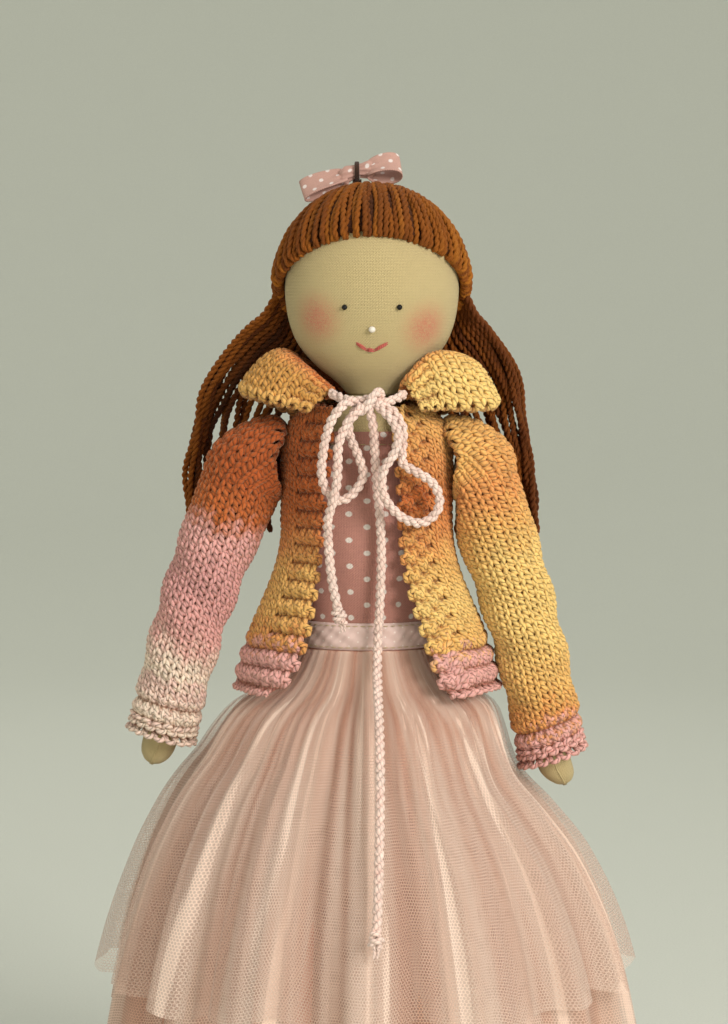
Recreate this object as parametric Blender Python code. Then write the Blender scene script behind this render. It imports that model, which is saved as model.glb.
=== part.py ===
"""A standing cloth doll with yarn hair, a dotted bodice, a layered tulle skirt
and a hooded knitted cardigan tied with a cord.

The doll faces -Y and stands on the plane z = 0 under the origin. Left and right
are as a viewer in front of the doll sees them, so left is -X. Sizes are in metres.
Left and right pieces are made by one function, with side -1 on the left and +1 on
the right.
"""
import math
from typing import NamedTuple

import bmesh
import bpy
from mathutils import Matrix, Vector

# Clearances and tolerances
GAP = 0.0003
WELD = 0.000002
OVERRUN = 0.004
TURN = 2 * math.pi

# Legs and feet, stuffed firmly enough to stand on
HIP_HEIGHT = 0.178
HIP_HALF_SPACING = 0.0150
THIGH_RADIUS = 0.0118
ANKLE_RADIUS = 0.0068
FOOT_HEIGHT = 0.021
FOOT_LENGTH = 0.042
FOOT_WIDTH = 0.0185
HEEL_BACK = 0.0140
ANKLE_BACK = 0.0110
# down share of the leg, radius share between ankle and thigh
LEG_SHARES = ((0.12, 1.0), (0.30, 0.86), (0.50, 0.60), (0.62, 0.56), (0.80, 0.38), (1.0, 0.0))
# height share of the foot, width share, length share
FOOT_SHARES = ((0.72, 0.86, 0.56), (0.42, 0.98, 0.86), (0.18, 1.0, 1.0), (0.0, 0.90, 0.94))

# Torso, one stuffed form from the hip seam to the top of the neck
TORSO_LENGTH = 0.1206
TORSO_HALF_WIDTH = 0.0275
TORSO_HALF_DEPTH = 0.0172
WAIST_SHARE = 0.268
SHOULDER_SHARE = 0.812
BODICE_BOTTOM_SHARE = 0.17
BODICE_TOP_SHARE = 0.893
# height share, width share, depth share
TORSO_SHARES = (
    (0.0, 0.80, 0.74), (0.03, 0.97, 0.93), (0.10, 1.03, 1.0), (BODICE_BOTTOM_SHARE, 0.96, 0.94),
    (0.222, 0.875, 0.884), (WAIST_SHARE, 0.87, 0.88), (0.312, 0.872, 0.884), (0.44, 0.92, 0.95),
    (0.60, 0.995, 1.0), (SHOULDER_SHARE, 0.98, 0.93), (BODICE_TOP_SHARE, 0.87, 0.77),
    (0.93, 0.68, 0.66), (0.965, 0.40, 0.54), (1.0, 0.315, 0.50),
)

# Head
HEAD_HEIGHT = 0.0725
HEAD_HALF_WIDTH = 0.0320
HEAD_HALF_DEPTH = 0.0250
HEAD_SHIFT = 0.0018
HEAD_SHARES = (
    (0.0, 0.28, 0.36), (0.06, 0.41, 0.46), (0.14, 0.635, 0.62), (0.245, 0.84, 0.79),
    (0.35, 0.945, 0.91), (0.47, 0.995, 0.985), (0.57, 1.0, 1.0), (0.70, 0.955, 0.975),
    (0.81, 0.84, 0.88), (0.90, 0.64, 0.69), (0.96, 0.40, 0.44), (1.0, 0.10, 0.12),
)
EYE_RADIUS = 0.00095
EYE_HALF_SPACING = 0.0099
EYE_SHARE = 0.443
NOSE_RADIUS = 0.0012
NOSE_SHARE = 0.333
MOUTH_THREAD = 0.0011
MOUTH_HALF_WIDTH = 0.0058
MOUTH_DIP = 0.0028
MOUTH_SHARE = 0.265

# Yarn hair: a cap round the skull, its front part ribbed and rolled, and three falls
HAIR_WALL = 0.0056
HAIR_RISE_SHARE = 0.53
HAIR_TILT = math.radians(28)
HAIRLINE_FRONT = math.radians(82)
HAIRLINE_SIDE = math.radians(86)
HAIRLINE_BACK = math.radians(101)
HAIR_RIBS = 30
HAIR_RIB_DEPTH = 0.0012
FALL_END_HEIGHT = 0.2535
FALL_REACH_LEFT = 0.0690
FALL_REACH_RIGHT = 0.0640
FALL_SIDE_Y = 0.0305
FALL_BACK_Y = 0.0375
FALL_WALL = 0.0056
FALL_SPREAD = math.radians(86)
FALL_STRAND_DEPTH = 0.0007
FALL_SPLIT_SHARE = 0.36
FALL_TUCK_SHARE = 0.40
FALL_ROOM = 0.0032
FALL_SEAM = 0.0010

# Dotted bow on the hair
BOW_CLOTH = 0.0008
BOW_WIDTH = 0.0094
BOW_BACK = 0.0160
BOW_LIFT = 0.0064
BOW_TILT = math.radians(50)
BOW_KNOT_RADIUS = 0.0031
BOW_KNOT_RISE = 0.0046
BOW_TUCK = 0.0004
BOW_LEFT_REACH = 0.0215
BOW_LEFT_HEIGHT = 0.0050
BOW_RIGHT_REACH = 0.0165
BOW_RIGHT_HEIGHT = 0.0084
BOW_OFFSET = 0.0055
BOW_LEFT_DROOP = math.radians(18)
BOW_RIGHT_RISE = math.radians(9)
BOW_OPENING = 0.0016
BOW_PINCH_SHARE = 0.42

# Bodice and waistband
BODICE_WALL = 0.0007
BAND_WALL = 0.0012
BAND_HEIGHT = 0.0100

# Tulle skirt: layers from the inside out
TULLE_WALL = 0.0006
TULLE_FOLDS = 14
TULLE_STEP = 0.0013
SKIRT_HALF_WIDTH = 0.0970
SKIRT_HALF_DEPTH = 0.0850
SKIRT_FOLD_DEPTH = 0.0042
UNDER_HEM = 0.0620
MIDDLE_HEM = 0.0760
OVERLAY_HEM = 0.0950
LAYER_SPREAD = 0.0038
# drop share of the longest layer, left and right width shares and depth share from waist to hem;
# the widths stay clear of the hanging hands
SKIRT_SHARES = (
    (0.0, 0.0, 0.0, 0.0), (0.055, 0.075, 0.075, 0.055), (0.095, 0.165, 0.165, 0.115),
    (0.14, 0.305, 0.270, 0.27), (0.19, 0.395, 0.305, 0.375), (0.25, 0.480, 0.335, 0.46),
    (0.31, 0.590, 0.395, 0.53), (0.38, 0.690, 0.540, 0.605), (0.50, 0.81, 0.740, 0.735),
    (0.70, 0.94, 0.925, 0.915), (1.0, 1.07, 1.07, 1.07),
)

# Knitted cardigan
KNIT_WALL = 0.0030
CARDIGAN_EASE = 0.0007
CARDIGAN_LENGTH = 0.1050
NECKLINE_SHARE = 0.968
# height share from hem to neckline, width share, depth share of the chest size
CARDIGAN_SHARES = (
    (0.0, 1.48, 1.60), (0.10, 1.38, 1.48), (0.20, 1.27, 1.35), (0.40, 1.055, 1.14),
    (0.50, 0.995, 1.07), (0.60, 0.99, 1.03), (0.80, 1.0, 0.98), (0.90, 0.965, 0.93),
    (0.96, 0.83, 0.86), (1.0, 0.62, 0.77),
)
# height share, x share of the chest half width of the left and right front edges
FRONT_EDGE_SHARES = (
    (0.0, 1.18, 0.99), (0.05, 0.98, 0.90), (0.20, 0.76, 0.72), (0.45, 0.60, 0.47),
    (0.75, 0.50, 0.40), (1.0, 0.42, 0.33),
)
ARMHOLE_RADIUS = 0.0068
SIDE_SEAM = 0.0009

# Hood, folded down round the neck with its front edges lying as two lapels
HOOD_FRONT_TURN = math.radians(40)
HOOD_REACH = 0.0300
HOOD_RISE = 0.0185
HOOD_DROP = 0.0240
# turn share from the front end to the back, ridge reach, ridge rise, edge reach, edge drop
HOOD_LEFT_SHARES = (
    (0.0, 0.10, 0.16, 0.42, 0.20), (0.16, 0.34, 0.66, 0.80, 0.10), (0.36, 0.42, 0.90, 0.95, 0.02),
    (0.55, 0.32, 0.70, 0.60, 0.28), (0.78, 0.17, 0.32, 0.38, 0.70), (1.0, 0.13, 0.20, 0.35, 1.0),
)
HOOD_RIGHT_SHARES = (
    (0.0, 0.12, 0.30, 0.36, 0.22), (0.12, 0.36, 0.84, 0.58, 0.26), (0.26, 0.56, 0.78, 0.98, 0.26),
    (0.40, 0.50, 0.62, 0.90, 0.14), (0.55, 0.32, 0.60, 0.60, 0.28), (0.78, 0.17, 0.32, 0.38, 0.70),
    (1.0, 0.13, 0.20, 0.35, 1.0),
)

# Sleeves and arms, hinged on one line through both shoulders
SHOULDER_OUTSET_LEFT = 0.0096
SHOULDER_OUTSET_RIGHT = 0.0048
SLEEVE_RADIUS = 0.0150
SLEEVE_REACH_LEFT = 0.1120
SLEEVE_REACH_RIGHT = 0.1190
ARM_SPLAY = {-1: math.radians(18.4), 1: math.radians(16.0)}
ARM_BOW = 0.0034
ARM_BOSS_RADIUS = 0.0058
ARM_RADIUS = 0.0080
HAND_SHOW = 0.0105
# length share of the sleeve, radius share
SLEEVE_SHARES = ((0.10, 0.995), (0.25, 0.96), (0.45, 0.90), (0.70, 0.865), (0.88, 0.865), (1.0, 0.92))
# length share of the arm, radius share
ARM_SHARES = (
    (0.16, 1.0), (0.35, 0.92), (0.60, 0.80), (0.84, 0.72), (0.91, 0.80), (0.965, 0.66), (0.99, 0.36),
)

# Tie cord: a chain-twisted cord with a bow at the neck and a knot at each end
CORD_DIAMETER = 0.0032
TIE_KNOT_HALF = (0.0078, 0.0036, 0.0036)
TIE_KNOT_PLACE = (0.0008, -0.0255, 0.3088)
END_KNOT_HALF = (0.0029, 0.0026, 0.0042)
CORD_STEP = 0.0064
TIE_NECK_LEFT = ((-0.0130, -0.0160, 0.3119), (-0.0112, -0.0205, 0.3112), (-0.0060, -0.0255, 0.3095))
TIE_NECK_RIGHT = ((0.0130, -0.0161, 0.3119), (0.0122, -0.0205, 0.3108), (0.0070, -0.0255, 0.3090))
TIE_LOOP_LEFT = (
    (-0.0045, -0.0265, 0.3100), (-0.0090, -0.0300, 0.3078), (-0.0135, -0.0305, 0.3010),
    (-0.0160, -0.0295, 0.2900), (-0.0162, -0.0290, 0.2820), (-0.0140, -0.0278, 0.2762),
    (-0.0095, -0.0262, 0.2735), (-0.0045, -0.0240, 0.2765), (-0.0014, -0.0225, 0.2825),
    (-0.0032, -0.0222, 0.2895), (-0.0060, -0.0228, 0.2960), (-0.0065, -0.0240, 0.3020),
    (-0.0030, -0.0250, 0.3075),
)
TIE_TAIL_LEFT = (
    (-0.0020, -0.0280, 0.3070), (-0.0065, -0.0300, 0.3025), (-0.0100, -0.0300, 0.2950),
    (-0.0105, -0.0300, 0.2880), (-0.0108, -0.0305, 0.2810), (-0.0122, -0.0312, 0.2740),
    (-0.0142, -0.0285, 0.2665), (-0.0140, -0.0255, 0.2580), (-0.0130, -0.0250, 0.2460),
    (-0.0115, -0.0250, 0.2380), (-0.0107, -0.0250, 0.2343),
)
TIE_LOOP_RIGHT = (
    (0.0040, -0.0265, 0.3080), (0.0088, -0.0296, 0.3030), (0.0112, -0.0305, 0.2970),
    (0.0095, -0.0305, 0.2905), (0.0060, -0.0300, 0.2850), (0.0055, -0.0295, 0.2775),
    (0.0085, -0.0285, 0.2715), (0.0140, -0.0275, 0.2668), (0.0200, -0.0262, 0.2655),
    (0.0250, -0.0252, 0.2690), (0.0262, -0.0248, 0.2745), (0.0235, -0.0252, 0.2800),
    (0.0180, -0.0262, 0.2838), (0.0130, -0.0264, 0.2870), (0.0128, -0.0264, 0.2930),
    (0.0128, -0.0264, 0.3000), (0.0092, -0.0262, 0.3060), (0.0050, -0.0257, 0.3080),
)
TIE_TAIL_RIGHT = (
    (0.0008, -0.0262, 0.3080), (0.0020, -0.0260, 0.3020), (0.0026, -0.0250, 0.2950),
    (0.0030, -0.0236, 0.2870), (0.0036, -0.0224, 0.2780), (0.0046, -0.0220, 0.2680),
    (0.0052, -0.0222, 0.2560), (0.0050, -0.0222, 0.2440), (0.0045, -0.0220, 0.2320),
    (0.0040, -0.0222, 0.2240), (0.0038, -0.0240, 0.2165), (0.0038, -0.0300, 0.2090),
    (0.0040, -0.0390, 0.2030), (0.0043, -0.0480, 0.1960), (0.0045, -0.0560, 0.1860),
    (0.0045, -0.0625, 0.1740), (0.0043, -0.0685, 0.1610), (0.0040, -0.0745, 0.1470),
    (0.0035, -0.0798, 0.1345), (0.0032, -0.0818, 0.1295),
)

# Fineness of the forms
BODY_COLUMNS = 20
SLEEVE_COLUMNS = 16
CORD_SIDES = 2
RIM_CHECKS = 8
FOLD_COLUMNS = 3
SMOOTH_ANGLE = math.radians(50)

# Heights worked out from the sizes above
TORSO_BOTTOM = HIP_HEIGHT + THIGH_RADIUS + GAP
TORSO_TOP = TORSO_BOTTOM + TORSO_LENGTH
WAIST_HEIGHT = TORSO_BOTTOM + WAIST_SHARE * TORSO_LENGTH
SHOULDER_HEIGHT = TORSO_BOTTOM + SHOULDER_SHARE * TORSO_LENGTH
HEAD_BOTTOM = TORSO_TOP + GAP
NECKLINE_HEIGHT = TORSO_BOTTOM + NECKLINE_SHARE * TORSO_LENGTH
CARDIGAN_HEM = NECKLINE_HEIGHT - CARDIGAN_LENGTH
BODICE_OUTSET = GAP + BODICE_WALL / 2
CHEST_HALF_WIDTH = TORSO_HALF_WIDTH + GAP + BODICE_WALL + CARDIGAN_EASE + KNIT_WALL / 2
CHEST_HALF_DEPTH = TORSO_HALF_DEPTH + GAP + BODICE_WALL + CARDIGAN_EASE + KNIT_WALL / 2
SKIRT_TOP = WAIST_HEIGHT - BAND_HEIGHT / 2 - GAP
SKIRT_LENGTH = SKIRT_TOP - UNDER_HEM
SEAM_X = CHEST_HALF_WIDTH + KNIT_WALL / 2 + GAP
SHOULDER_X = {-1: SEAM_X + SHOULDER_OUTSET_LEFT, 1: SEAM_X + SHOULDER_OUTSET_RIGHT}
SLEEVE_REACH = {-1: SLEEVE_REACH_LEFT, 1: SLEEVE_REACH_RIGHT}
SIDE_NAME = {-1: "left", 1: "right"}


class Ring(NamedTuple):
    """One cross-section of a lofted form: its centre and its two half axes."""

    centre: Vector
    side: Vector
    front: Vector


def along(shares, place):
    """Read a table of (place, value, ...) rows on a smooth curve through its rows."""
    place = min(max(place, shares[0][0]), shares[-1][0])
    last = len(shares) - 1
    index = next(k for k in range(last) if place <= shares[k + 1][0])
    low, high = shares[index], shares[index + 1]
    before = shares[max(index - 1, 0)]
    after = shares[min(index + 2, last)]
    span = high[0] - low[0]
    t = (place - low[0]) / span
    values = []
    for column in range(1, len(low)):
        slope_low = (high[column] - before[column]) / (high[0] - before[0]) * span
        slope_high = (after[column] - low[column]) / (after[0] - low[0]) * span
        values.append(
            (2 * t**3 - 3 * t**2 + 1) * low[column] + (t**3 - 2 * t**2 + t) * slope_low
            + (3 * t**2 - 2 * t**3) * high[column] + (t**3 - t**2) * slope_high
        )
    return values


def level_ring(half_width, half_depth, height, x=0.0, y=0.0):
    """A level cross-section."""
    return Ring(Vector((x, y, height)), Vector((half_width, 0, 0)), Vector((0, half_depth, 0)))


def ring_point(ring, turn):
    """The point of a ring at a turn counted from the doll's front towards its right."""
    return ring.centre + ring.side * math.sin(turn) - ring.front * math.cos(turn)


def fabric(name, colour, roughness=0.9, metallic=0.0):
    """A material with one colour."""
    material = bpy.data.materials.new(name)
    material.use_nodes = True
    shader = material.node_tree.nodes["Principled BSDF"]
    shader.inputs["Base Color"].default_value = (*colour, 1)
    shader.inputs["Roughness"].default_value = roughness
    shader.inputs["Metallic"].default_value = metallic
    return material


def finish(name, mesh_source, material):
    """Turn a bmesh into a named object with its material."""
    mesh = bpy.data.meshes.new(name)
    mesh_source.to_mesh(mesh)
    mesh_source.free()
    mesh.shade_smooth()
    mesh.set_sharp_from_angle(angle=SMOOTH_ANGLE)
    mesh.materials.append(material)
    piece = bpy.data.objects.new(name, mesh)
    bpy.context.scene.collection.objects.link(piece)
    return piece


def grid(columns, rows, place):
    """A unit grid whose points are moved to place(u, v), with doubled points welded."""
    surface = bmesh.new()
    bmesh.ops.create_grid(surface, x_segments=columns, y_segments=rows, size=1)
    for vert in surface.verts:
        vert.co = place((vert.co.x + 1) / 2, (vert.co.y + 1) / 2)
    bmesh.ops.remove_doubles(surface, verts=surface.verts, dist=WELD)
    return surface


def close_and_orient(surface):
    """Fill the open ends of a form and point its faces out."""
    rims = [edge for edge in surface.edges if edge.is_boundary]
    bmesh.ops.holes_fill(surface, edges=rims, sides=0)
    bmesh.ops.recalc_face_normals(surface, faces=surface.faces)


def stuffed(name, rings, columns, material):
    """A closed form lofted through rings."""
    last = len(rings) - 1
    form = grid(columns, last, lambda u, v: ring_point(rings[round(v * last)], u * TURN))
    close_and_orient(form)
    return finish(name, form, material)


def thicken(piece, wall):
    """Give a sheet its wall, half to each side."""
    thickness = piece.modifiers.new("wall", "SOLIDIFY")
    thickness.thickness = wall
    thickness.offset = 0
    return piece


def cloth(name, columns, rows, place, wall, material):
    """A sheet through place(u, v), with its wall thickness half to each side."""
    return thicken(finish(name, grid(columns, rows, place), material), wall)


def ball(name, centre, half_sizes, material, segments=12):
    """A bead or knot: a ball stretched to its half sizes."""
    form = bmesh.new()
    place = Matrix.Translation(centre) @ Matrix.Diagonal((*half_sizes, 1))
    bmesh.ops.create_uvsphere(form, u_segments=segments, v_segments=segments // 2 + 1, radius=1, matrix=place)
    return finish(name, form, material)


def as_cutter(piece):
    """Mark an object as a cutting form that isn't part of the doll."""
    piece.hide_render = True
    piece.display_type = "WIRE"
    return piece


def cut(piece, cutter):
    """Cut one form out of another."""
    boolean = piece.modifiers.new("cut", "BOOLEAN")
    boolean.operation = "DIFFERENCE"
    boolean.solver = "EXACT"
    boolean.object = cutter


def pivot(name, place):
    """An empty on a joint's axis."""
    empty = bpy.data.objects.new(name, None)
    empty.location = place
    bpy.context.scene.collection.objects.link(empty)
    return empty


def hang_on(piece, empty):
    """Parent a piece to a pivot without moving it."""
    piece.parent = empty
    piece.matrix_parent_inverse = Matrix.Translation(-empty.location)


def torso_radii(height, outset=0.0):
    """Half width and half depth of the torso at a height, moved out by an outset."""
    width, depth = along(TORSO_SHARES, (height - TORSO_BOTTOM) / TORSO_LENGTH)
    return TORSO_HALF_WIDTH * width + outset, TORSO_HALF_DEPTH * depth + outset


def head_radii(height, outset=0.0):
    """Half width and half depth of the head at a height."""
    width, depth = along(HEAD_SHARES, (height - HEAD_BOTTOM) / HEAD_HEIGHT)
    return HEAD_HALF_WIDTH * width + outset, HEAD_HALF_DEPTH * depth + outset


def face_point(x, share, outset):
    """A point in front of the face at a side place and a height share of the head."""
    height = HEAD_BOTTOM + share * HEAD_HEIGHT
    half_width, half_depth = head_radii(height, outset)
    return Vector((HEAD_SHIFT + x, -half_depth * math.sqrt(1 - (x / half_width) ** 2), height))


def make_torso(material):
    """The stuffed torso with its neck."""
    rings = [
        level_ring(TORSO_HALF_WIDTH * width, TORSO_HALF_DEPTH * depth, TORSO_BOTTOM + share * TORSO_LENGTH)
        for share, width, depth in TORSO_SHARES
    ]
    return stuffed("torso", rings, BODY_COLUMNS, material)


def head_rings(outset):
    """The rings of the head, moved out by an outset."""
    rings = []
    for share, width, depth in HEAD_SHARES:
        height = HEAD_BOTTOM + share * HEAD_HEIGHT
        if share == 1:
            height += outset
        half_width = HEAD_HALF_WIDTH * width + outset
        rings.append(level_ring(half_width, HEAD_HALF_DEPTH * depth + outset, height, HEAD_SHIFT))
    return rings


def make_face(bead_black, pearl, thread):
    """Two bead eyes, a pearl nose and a stitched smile on the front of the head."""
    for side in (-1, 1):
        place = face_point(side * EYE_HALF_SPACING, EYE_SHARE, GAP + EYE_RADIUS)
        ball("eye_" + SIDE_NAME[side], place, (EYE_RADIUS,) * 3, bead_black, 10)
    nose = face_point(0, NOSE_SHARE, GAP + NOSE_RADIUS)
    ball("nose_bead", nose, (NOSE_RADIUS,) * 3, pearl, 10)
    dip = MOUTH_DIP / HEAD_HEIGHT
    route = [
        face_point(MOUTH_HALF_WIDTH * step, MOUTH_SHARE - dip * (1 - step**2), GAP + MOUTH_THREAD / 2 + GAP)
        for step in (-1, -0.6, -0.25, 0.0, 0.25, 0.6, 1)
    ]
    tube("mouth_stitches", route, MOUTH_THREAD, thread)


def make_leg(side, material, hips):
    """A stuffed leg, round about the hip line at its top, leaning back to a flat sole."""
    x = side * HIP_HALF_SPACING
    rings = []
    for step in range(1, 6):
        lift = math.pi / 2 * step / 5
        radius = THIGH_RADIUS * math.sin(lift)
        rings.append(level_ring(radius, radius, HIP_HEIGHT + THIGH_RADIUS * math.cos(lift), x))
    for down, share in LEG_SHARES:
        radius = ANKLE_RADIUS + (THIGH_RADIUS - ANKLE_RADIUS) * share
        height = HIP_HEIGHT + (FOOT_HEIGHT - HIP_HEIGHT) * down
        rings.append(level_ring(radius, radius, height, x, ANKLE_BACK * down))
    for height, width, length in FOOT_SHARES:
        half_length = FOOT_LENGTH / 2 * length
        heel_y = ANKLE_BACK + HEEL_BACK * (ANKLE_RADIUS / HEEL_BACK + length) / 2
        centre_y = heel_y - half_length
        rings.append(level_ring(FOOT_WIDTH / 2 * width, half_length, FOOT_HEIGHT * height, x, centre_y))
    leg = stuffed("leg_" + SIDE_NAME[side], rings, BODY_COLUMNS, material)
    hang_on(leg, hips)


def arm_line(side, distance):
    """A point on the line of the arm, which bows out a little, at a distance from its shoulder."""
    splay = ARM_SPLAY[side]
    offset = Vector((side * math.sin(splay), 0, -math.cos(splay))) * distance
    bow = ARM_BOW * math.sin(math.pi * min(max(distance / SLEEVE_REACH[side], 0), 1))
    return Vector((side * (SHOULDER_X[side] + bow), 0, SHOULDER_HEIGHT)) + offset


def arm_ring(side, distance, radius):
    """A ring square to the line of the arm."""
    splay = ARM_SPLAY[side]
    across = Vector((math.cos(splay), 0, side * math.sin(splay))) * radius
    return Ring(arm_line(side, distance), across, Vector((0, radius, 0)))


def make_arm(side, material, shoulder):
    """A stuffed arm that enters the body on the shoulder line and ends in a mitten hand."""
    boss_start = TORSO_HALF_WIDTH + GAP
    bend = Vector((side, 0, -1)).normalized()
    bend_across = Vector((1, 0, side)).normalized()
    bend_place = Vector((side * SHOULDER_X[side], 0, SHOULDER_HEIGHT)) + bend * (ARM_RADIUS / 4)
    upright = Vector((0, 0, side * ARM_BOSS_RADIUS))
    deep = Vector((0, ARM_BOSS_RADIUS, 0))
    rings = [
        Ring(Vector((side * boss_start, 0, SHOULDER_HEIGHT)), upright, deep),
        Ring(Vector((side * (SEAM_X + GAP), 0, SHOULDER_HEIGHT)), upright, deep),
        Ring(bend_place, bend_across * ARM_RADIUS, Vector((0, ARM_RADIUS, 0))),
    ]
    reach = SLEEVE_REACH[side] + HAND_SHOW
    rings += [arm_ring(side, reach * share, ARM_RADIUS * radius) for share, radius in ARM_SHARES]
    arm = stuffed("arm_" + SIDE_NAME[side], rings, 14, material)
    hang_on(arm, shoulder)


def make_sleeve(side, material, shoulder):
    """A knitted sleeve: a tube with a ball cap on the shoulder line, cut flat at the seam."""
    middle = SLEEVE_RADIUS - KNIT_WALL / 2
    rings = []
    for step in range(1, 6):
        lift = math.pi / 2 * step / 5
        rings.append(arm_ring(side, -middle * math.cos(lift), middle * math.sin(lift)))
    for share, radius in SLEEVE_SHARES:
        rings.append(arm_ring(side, SLEEVE_REACH[side] * share, SLEEVE_RADIUS * radius - KNIT_WALL / 2))
    last = len(rings) - 1
    sleeve = cloth(
        "sleeve_" + SIDE_NAME[side], SLEEVE_COLUMNS, last,
        lambda u, v: ring_point(rings[round(v * last)], u * TURN), KNIT_WALL, material,
    )
    block = bmesh.new()
    size = SLEEVE_RADIUS * 3
    place = Vector((side * (SEAM_X + GAP - size / 2), 0, SHOULDER_HEIGHT - SLEEVE_RADIUS))
    scale = Matrix.Diagonal((size, size, size * 2, 1))
    bmesh.ops.create_cube(block, size=1, matrix=Matrix.Translation(place) @ scale)
    cutter = as_cutter(finish("sleeve_cutter_" + SIDE_NAME[side], block, material))
    cut(sleeve, cutter)
    hang_on(sleeve, shoulder)


def armhole_cutter(material):
    """A bar on the shoulder line that opens the armholes of bodice and cardigan."""
    bar = bmesh.new()
    place = Matrix.Translation((0, 0, SHOULDER_HEIGHT)) @ Matrix.Rotation(math.pi / 2, 4, "Y")
    bmesh.ops.create_cone(
        bar, segments=16, radius1=ARMHOLE_RADIUS, radius2=ARMHOLE_RADIUS,
        depth=2 * (SEAM_X + OVERRUN), matrix=place, cap_ends=True,
    )
    return as_cutter(finish("armhole_cutter", bar, material))


def make_bodice(material, armholes):
    """The dotted bodice, a close skin on the torso with two armholes."""
    shares = [row[0] for row in TORSO_SHARES if BODICE_BOTTOM_SHARE <= row[0] <= BODICE_TOP_SHARE]
    last = len(shares) - 1

    def place(u, v):
        height = TORSO_BOTTOM + shares[round(v * last)] * TORSO_LENGTH
        return ring_point(level_ring(*torso_radii(height, BODICE_OUTSET), height), u * TURN)

    bodice = cloth("bodice", BODY_COLUMNS, last, place, BODICE_WALL, material)
    cut(bodice, armholes)


def make_waistband(material):
    """The satin band round the waist."""
    outset = GAP + BODICE_WALL + GAP + BAND_WALL / 2
    half_width, half_depth = torso_radii(WAIST_HEIGHT, outset)

    def place(u, v):
        height = WAIST_HEIGHT + BAND_HEIGHT * (v - 1 / 2)
        return ring_point(level_ring(half_width, half_depth, height), u * TURN)

    cloth("waistband", BODY_COLUMNS, 2, place, BAND_WALL, material)


def skirt_point(turn, drop, layer):
    """A point of a tulle layer at a turn and a drop below the waistband."""
    left_wide, right_wide, deep = along(SKIRT_SHARES, drop / SKIRT_LENGTH)
    wide = left_wide if math.sin(turn) < 0 else right_wide
    outset = GAP + BODICE_WALL + GAP + TULLE_WALL / 2
    half_width, half_depth = torso_radii(WAIST_HEIGHT, outset)
    spread = layer * (TULLE_STEP + LAYER_SPREAD * deep)
    half_width += (SKIRT_HALF_WIDTH - 2 * LAYER_SPREAD - half_width) * wide + spread
    half_depth += (SKIRT_HALF_DEPTH - 2 * LAYER_SPREAD - half_depth) * deep + spread
    fold = 1 + SKIRT_FOLD_DEPTH / SKIRT_HALF_DEPTH * math.cos(TULLE_FOLDS * turn) * deep
    height = SKIRT_TOP - drop
    return ring_point(level_ring(half_width * fold, half_depth * fold, height), turn)


def make_tulle(name, layer, hem, material):
    """One gathered tulle layer with its folds, cut level at its hem."""
    last = len(SKIRT_SHARES) - 1

    def place(u, v):
        return skirt_point(u * TURN, SKIRT_LENGTH * SKIRT_SHARES[round(v * last)][0], layer)

    surface = grid(TULLE_FOLDS * FOLD_COLUMNS, last, place)
    everything = surface.verts[:] + surface.edges[:] + surface.faces[:]
    bmesh.ops.bisect_plane(
        surface, geom=everything, dist=WELD, plane_co=Vector((0, 0, hem)), plane_no=Vector((0, 0, 1)),
        clear_inner=True,
    )
    thicken(finish(name, surface, material), TULLE_WALL)


def cardigan_ring(share):
    """A cross-section of the cardigan at a height share from hem to neckline."""
    width, depth = along(CARDIGAN_SHARES, share)
    height = CARDIGAN_HEM + CARDIGAN_LENGTH * share
    return level_ring(CHEST_HALF_WIDTH * width, CHEST_HALF_DEPTH * depth, height)


def front_edge_turn(side, share):
    """The turn of a front's free edge at a height share."""
    left, right = along(FRONT_EDGE_SHARES, share)
    x = CHEST_HALF_WIDTH * (left if side < 0 else right)
    ring = cardigan_ring(share)
    return math.asin(min(x / ring.side.x, 0.999))


def make_cardigan(material, armholes):
    """The back and the two fronts, parted at the side seams."""
    seam = SIDE_SEAM / 2 / CHEST_HALF_DEPTH

    def back(u, v):
        turn = math.pi / 2 + seam + u * (math.pi - 2 * seam)
        return ring_point(cardigan_ring(v), turn)

    cut(cloth("cardigan_back", 14, 12, back, KNIT_WALL, material), armholes)
    for side in (-1, 1):

        def front(u, v, side=side):
            edge = front_edge_turn(side, v)
            turn = edge + u * (math.pi / 2 - seam - edge)
            return ring_point(cardigan_ring(v), side * turn)

        name = "cardigan_front_" + SIDE_NAME[side]
        cut(cloth(name, 8, 12, front, KNIT_WALL, material), armholes)


def hood_point(turn, step):
    """A point of the hood: step 0 at the neckline, 1/2 at the fold and 1 at the free edge."""
    from_front = abs(math.atan2(math.sin(turn), -math.cos(turn)))
    share = 1 - from_front / (math.pi - HOOD_FRONT_TURN)
    shares = HOOD_LEFT_SHARES if math.sin(turn) < 0 else HOOD_RIGHT_SHARES
    ridge_out, ridge_up, edge_out, edge_down = along(shares, share)
    top = cardigan_ring(1)
    lift = Vector((0, 0, KNIT_WALL))
    start = ring_point(top, turn) + lift
    outward = (start - top.centre - lift).normalized()
    ridge = start + outward * HOOD_REACH * ridge_out + Vector((0, 0, HOOD_RISE * ridge_up))
    edge = start + outward * HOOD_REACH * edge_out - Vector((0, 0, HOOD_DROP * edge_down))
    control = ridge * 2 - (start + edge) / 2
    return start * (1 - step) ** 2 + control * 2 * step * (1 - step) + edge * step**2


def make_hood(material):
    """The hood, one sheet that stands up from the neckline and folds over outwards."""
    def place(u, v):
        turn = HOOD_FRONT_TURN + u * (TURN - 2 * HOOD_FRONT_TURN)
        return hood_point(turn, v)

    cloth("hood", 24, 6, place, KNIT_WALL, material)


def hair_centre():
    """The middle of the skull, from which the cap of hair is laid out."""
    return Vector((HEAD_SHIFT, 0, HEAD_BOTTOM + HAIR_RISE_SHARE * HEAD_HEIGHT))


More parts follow.
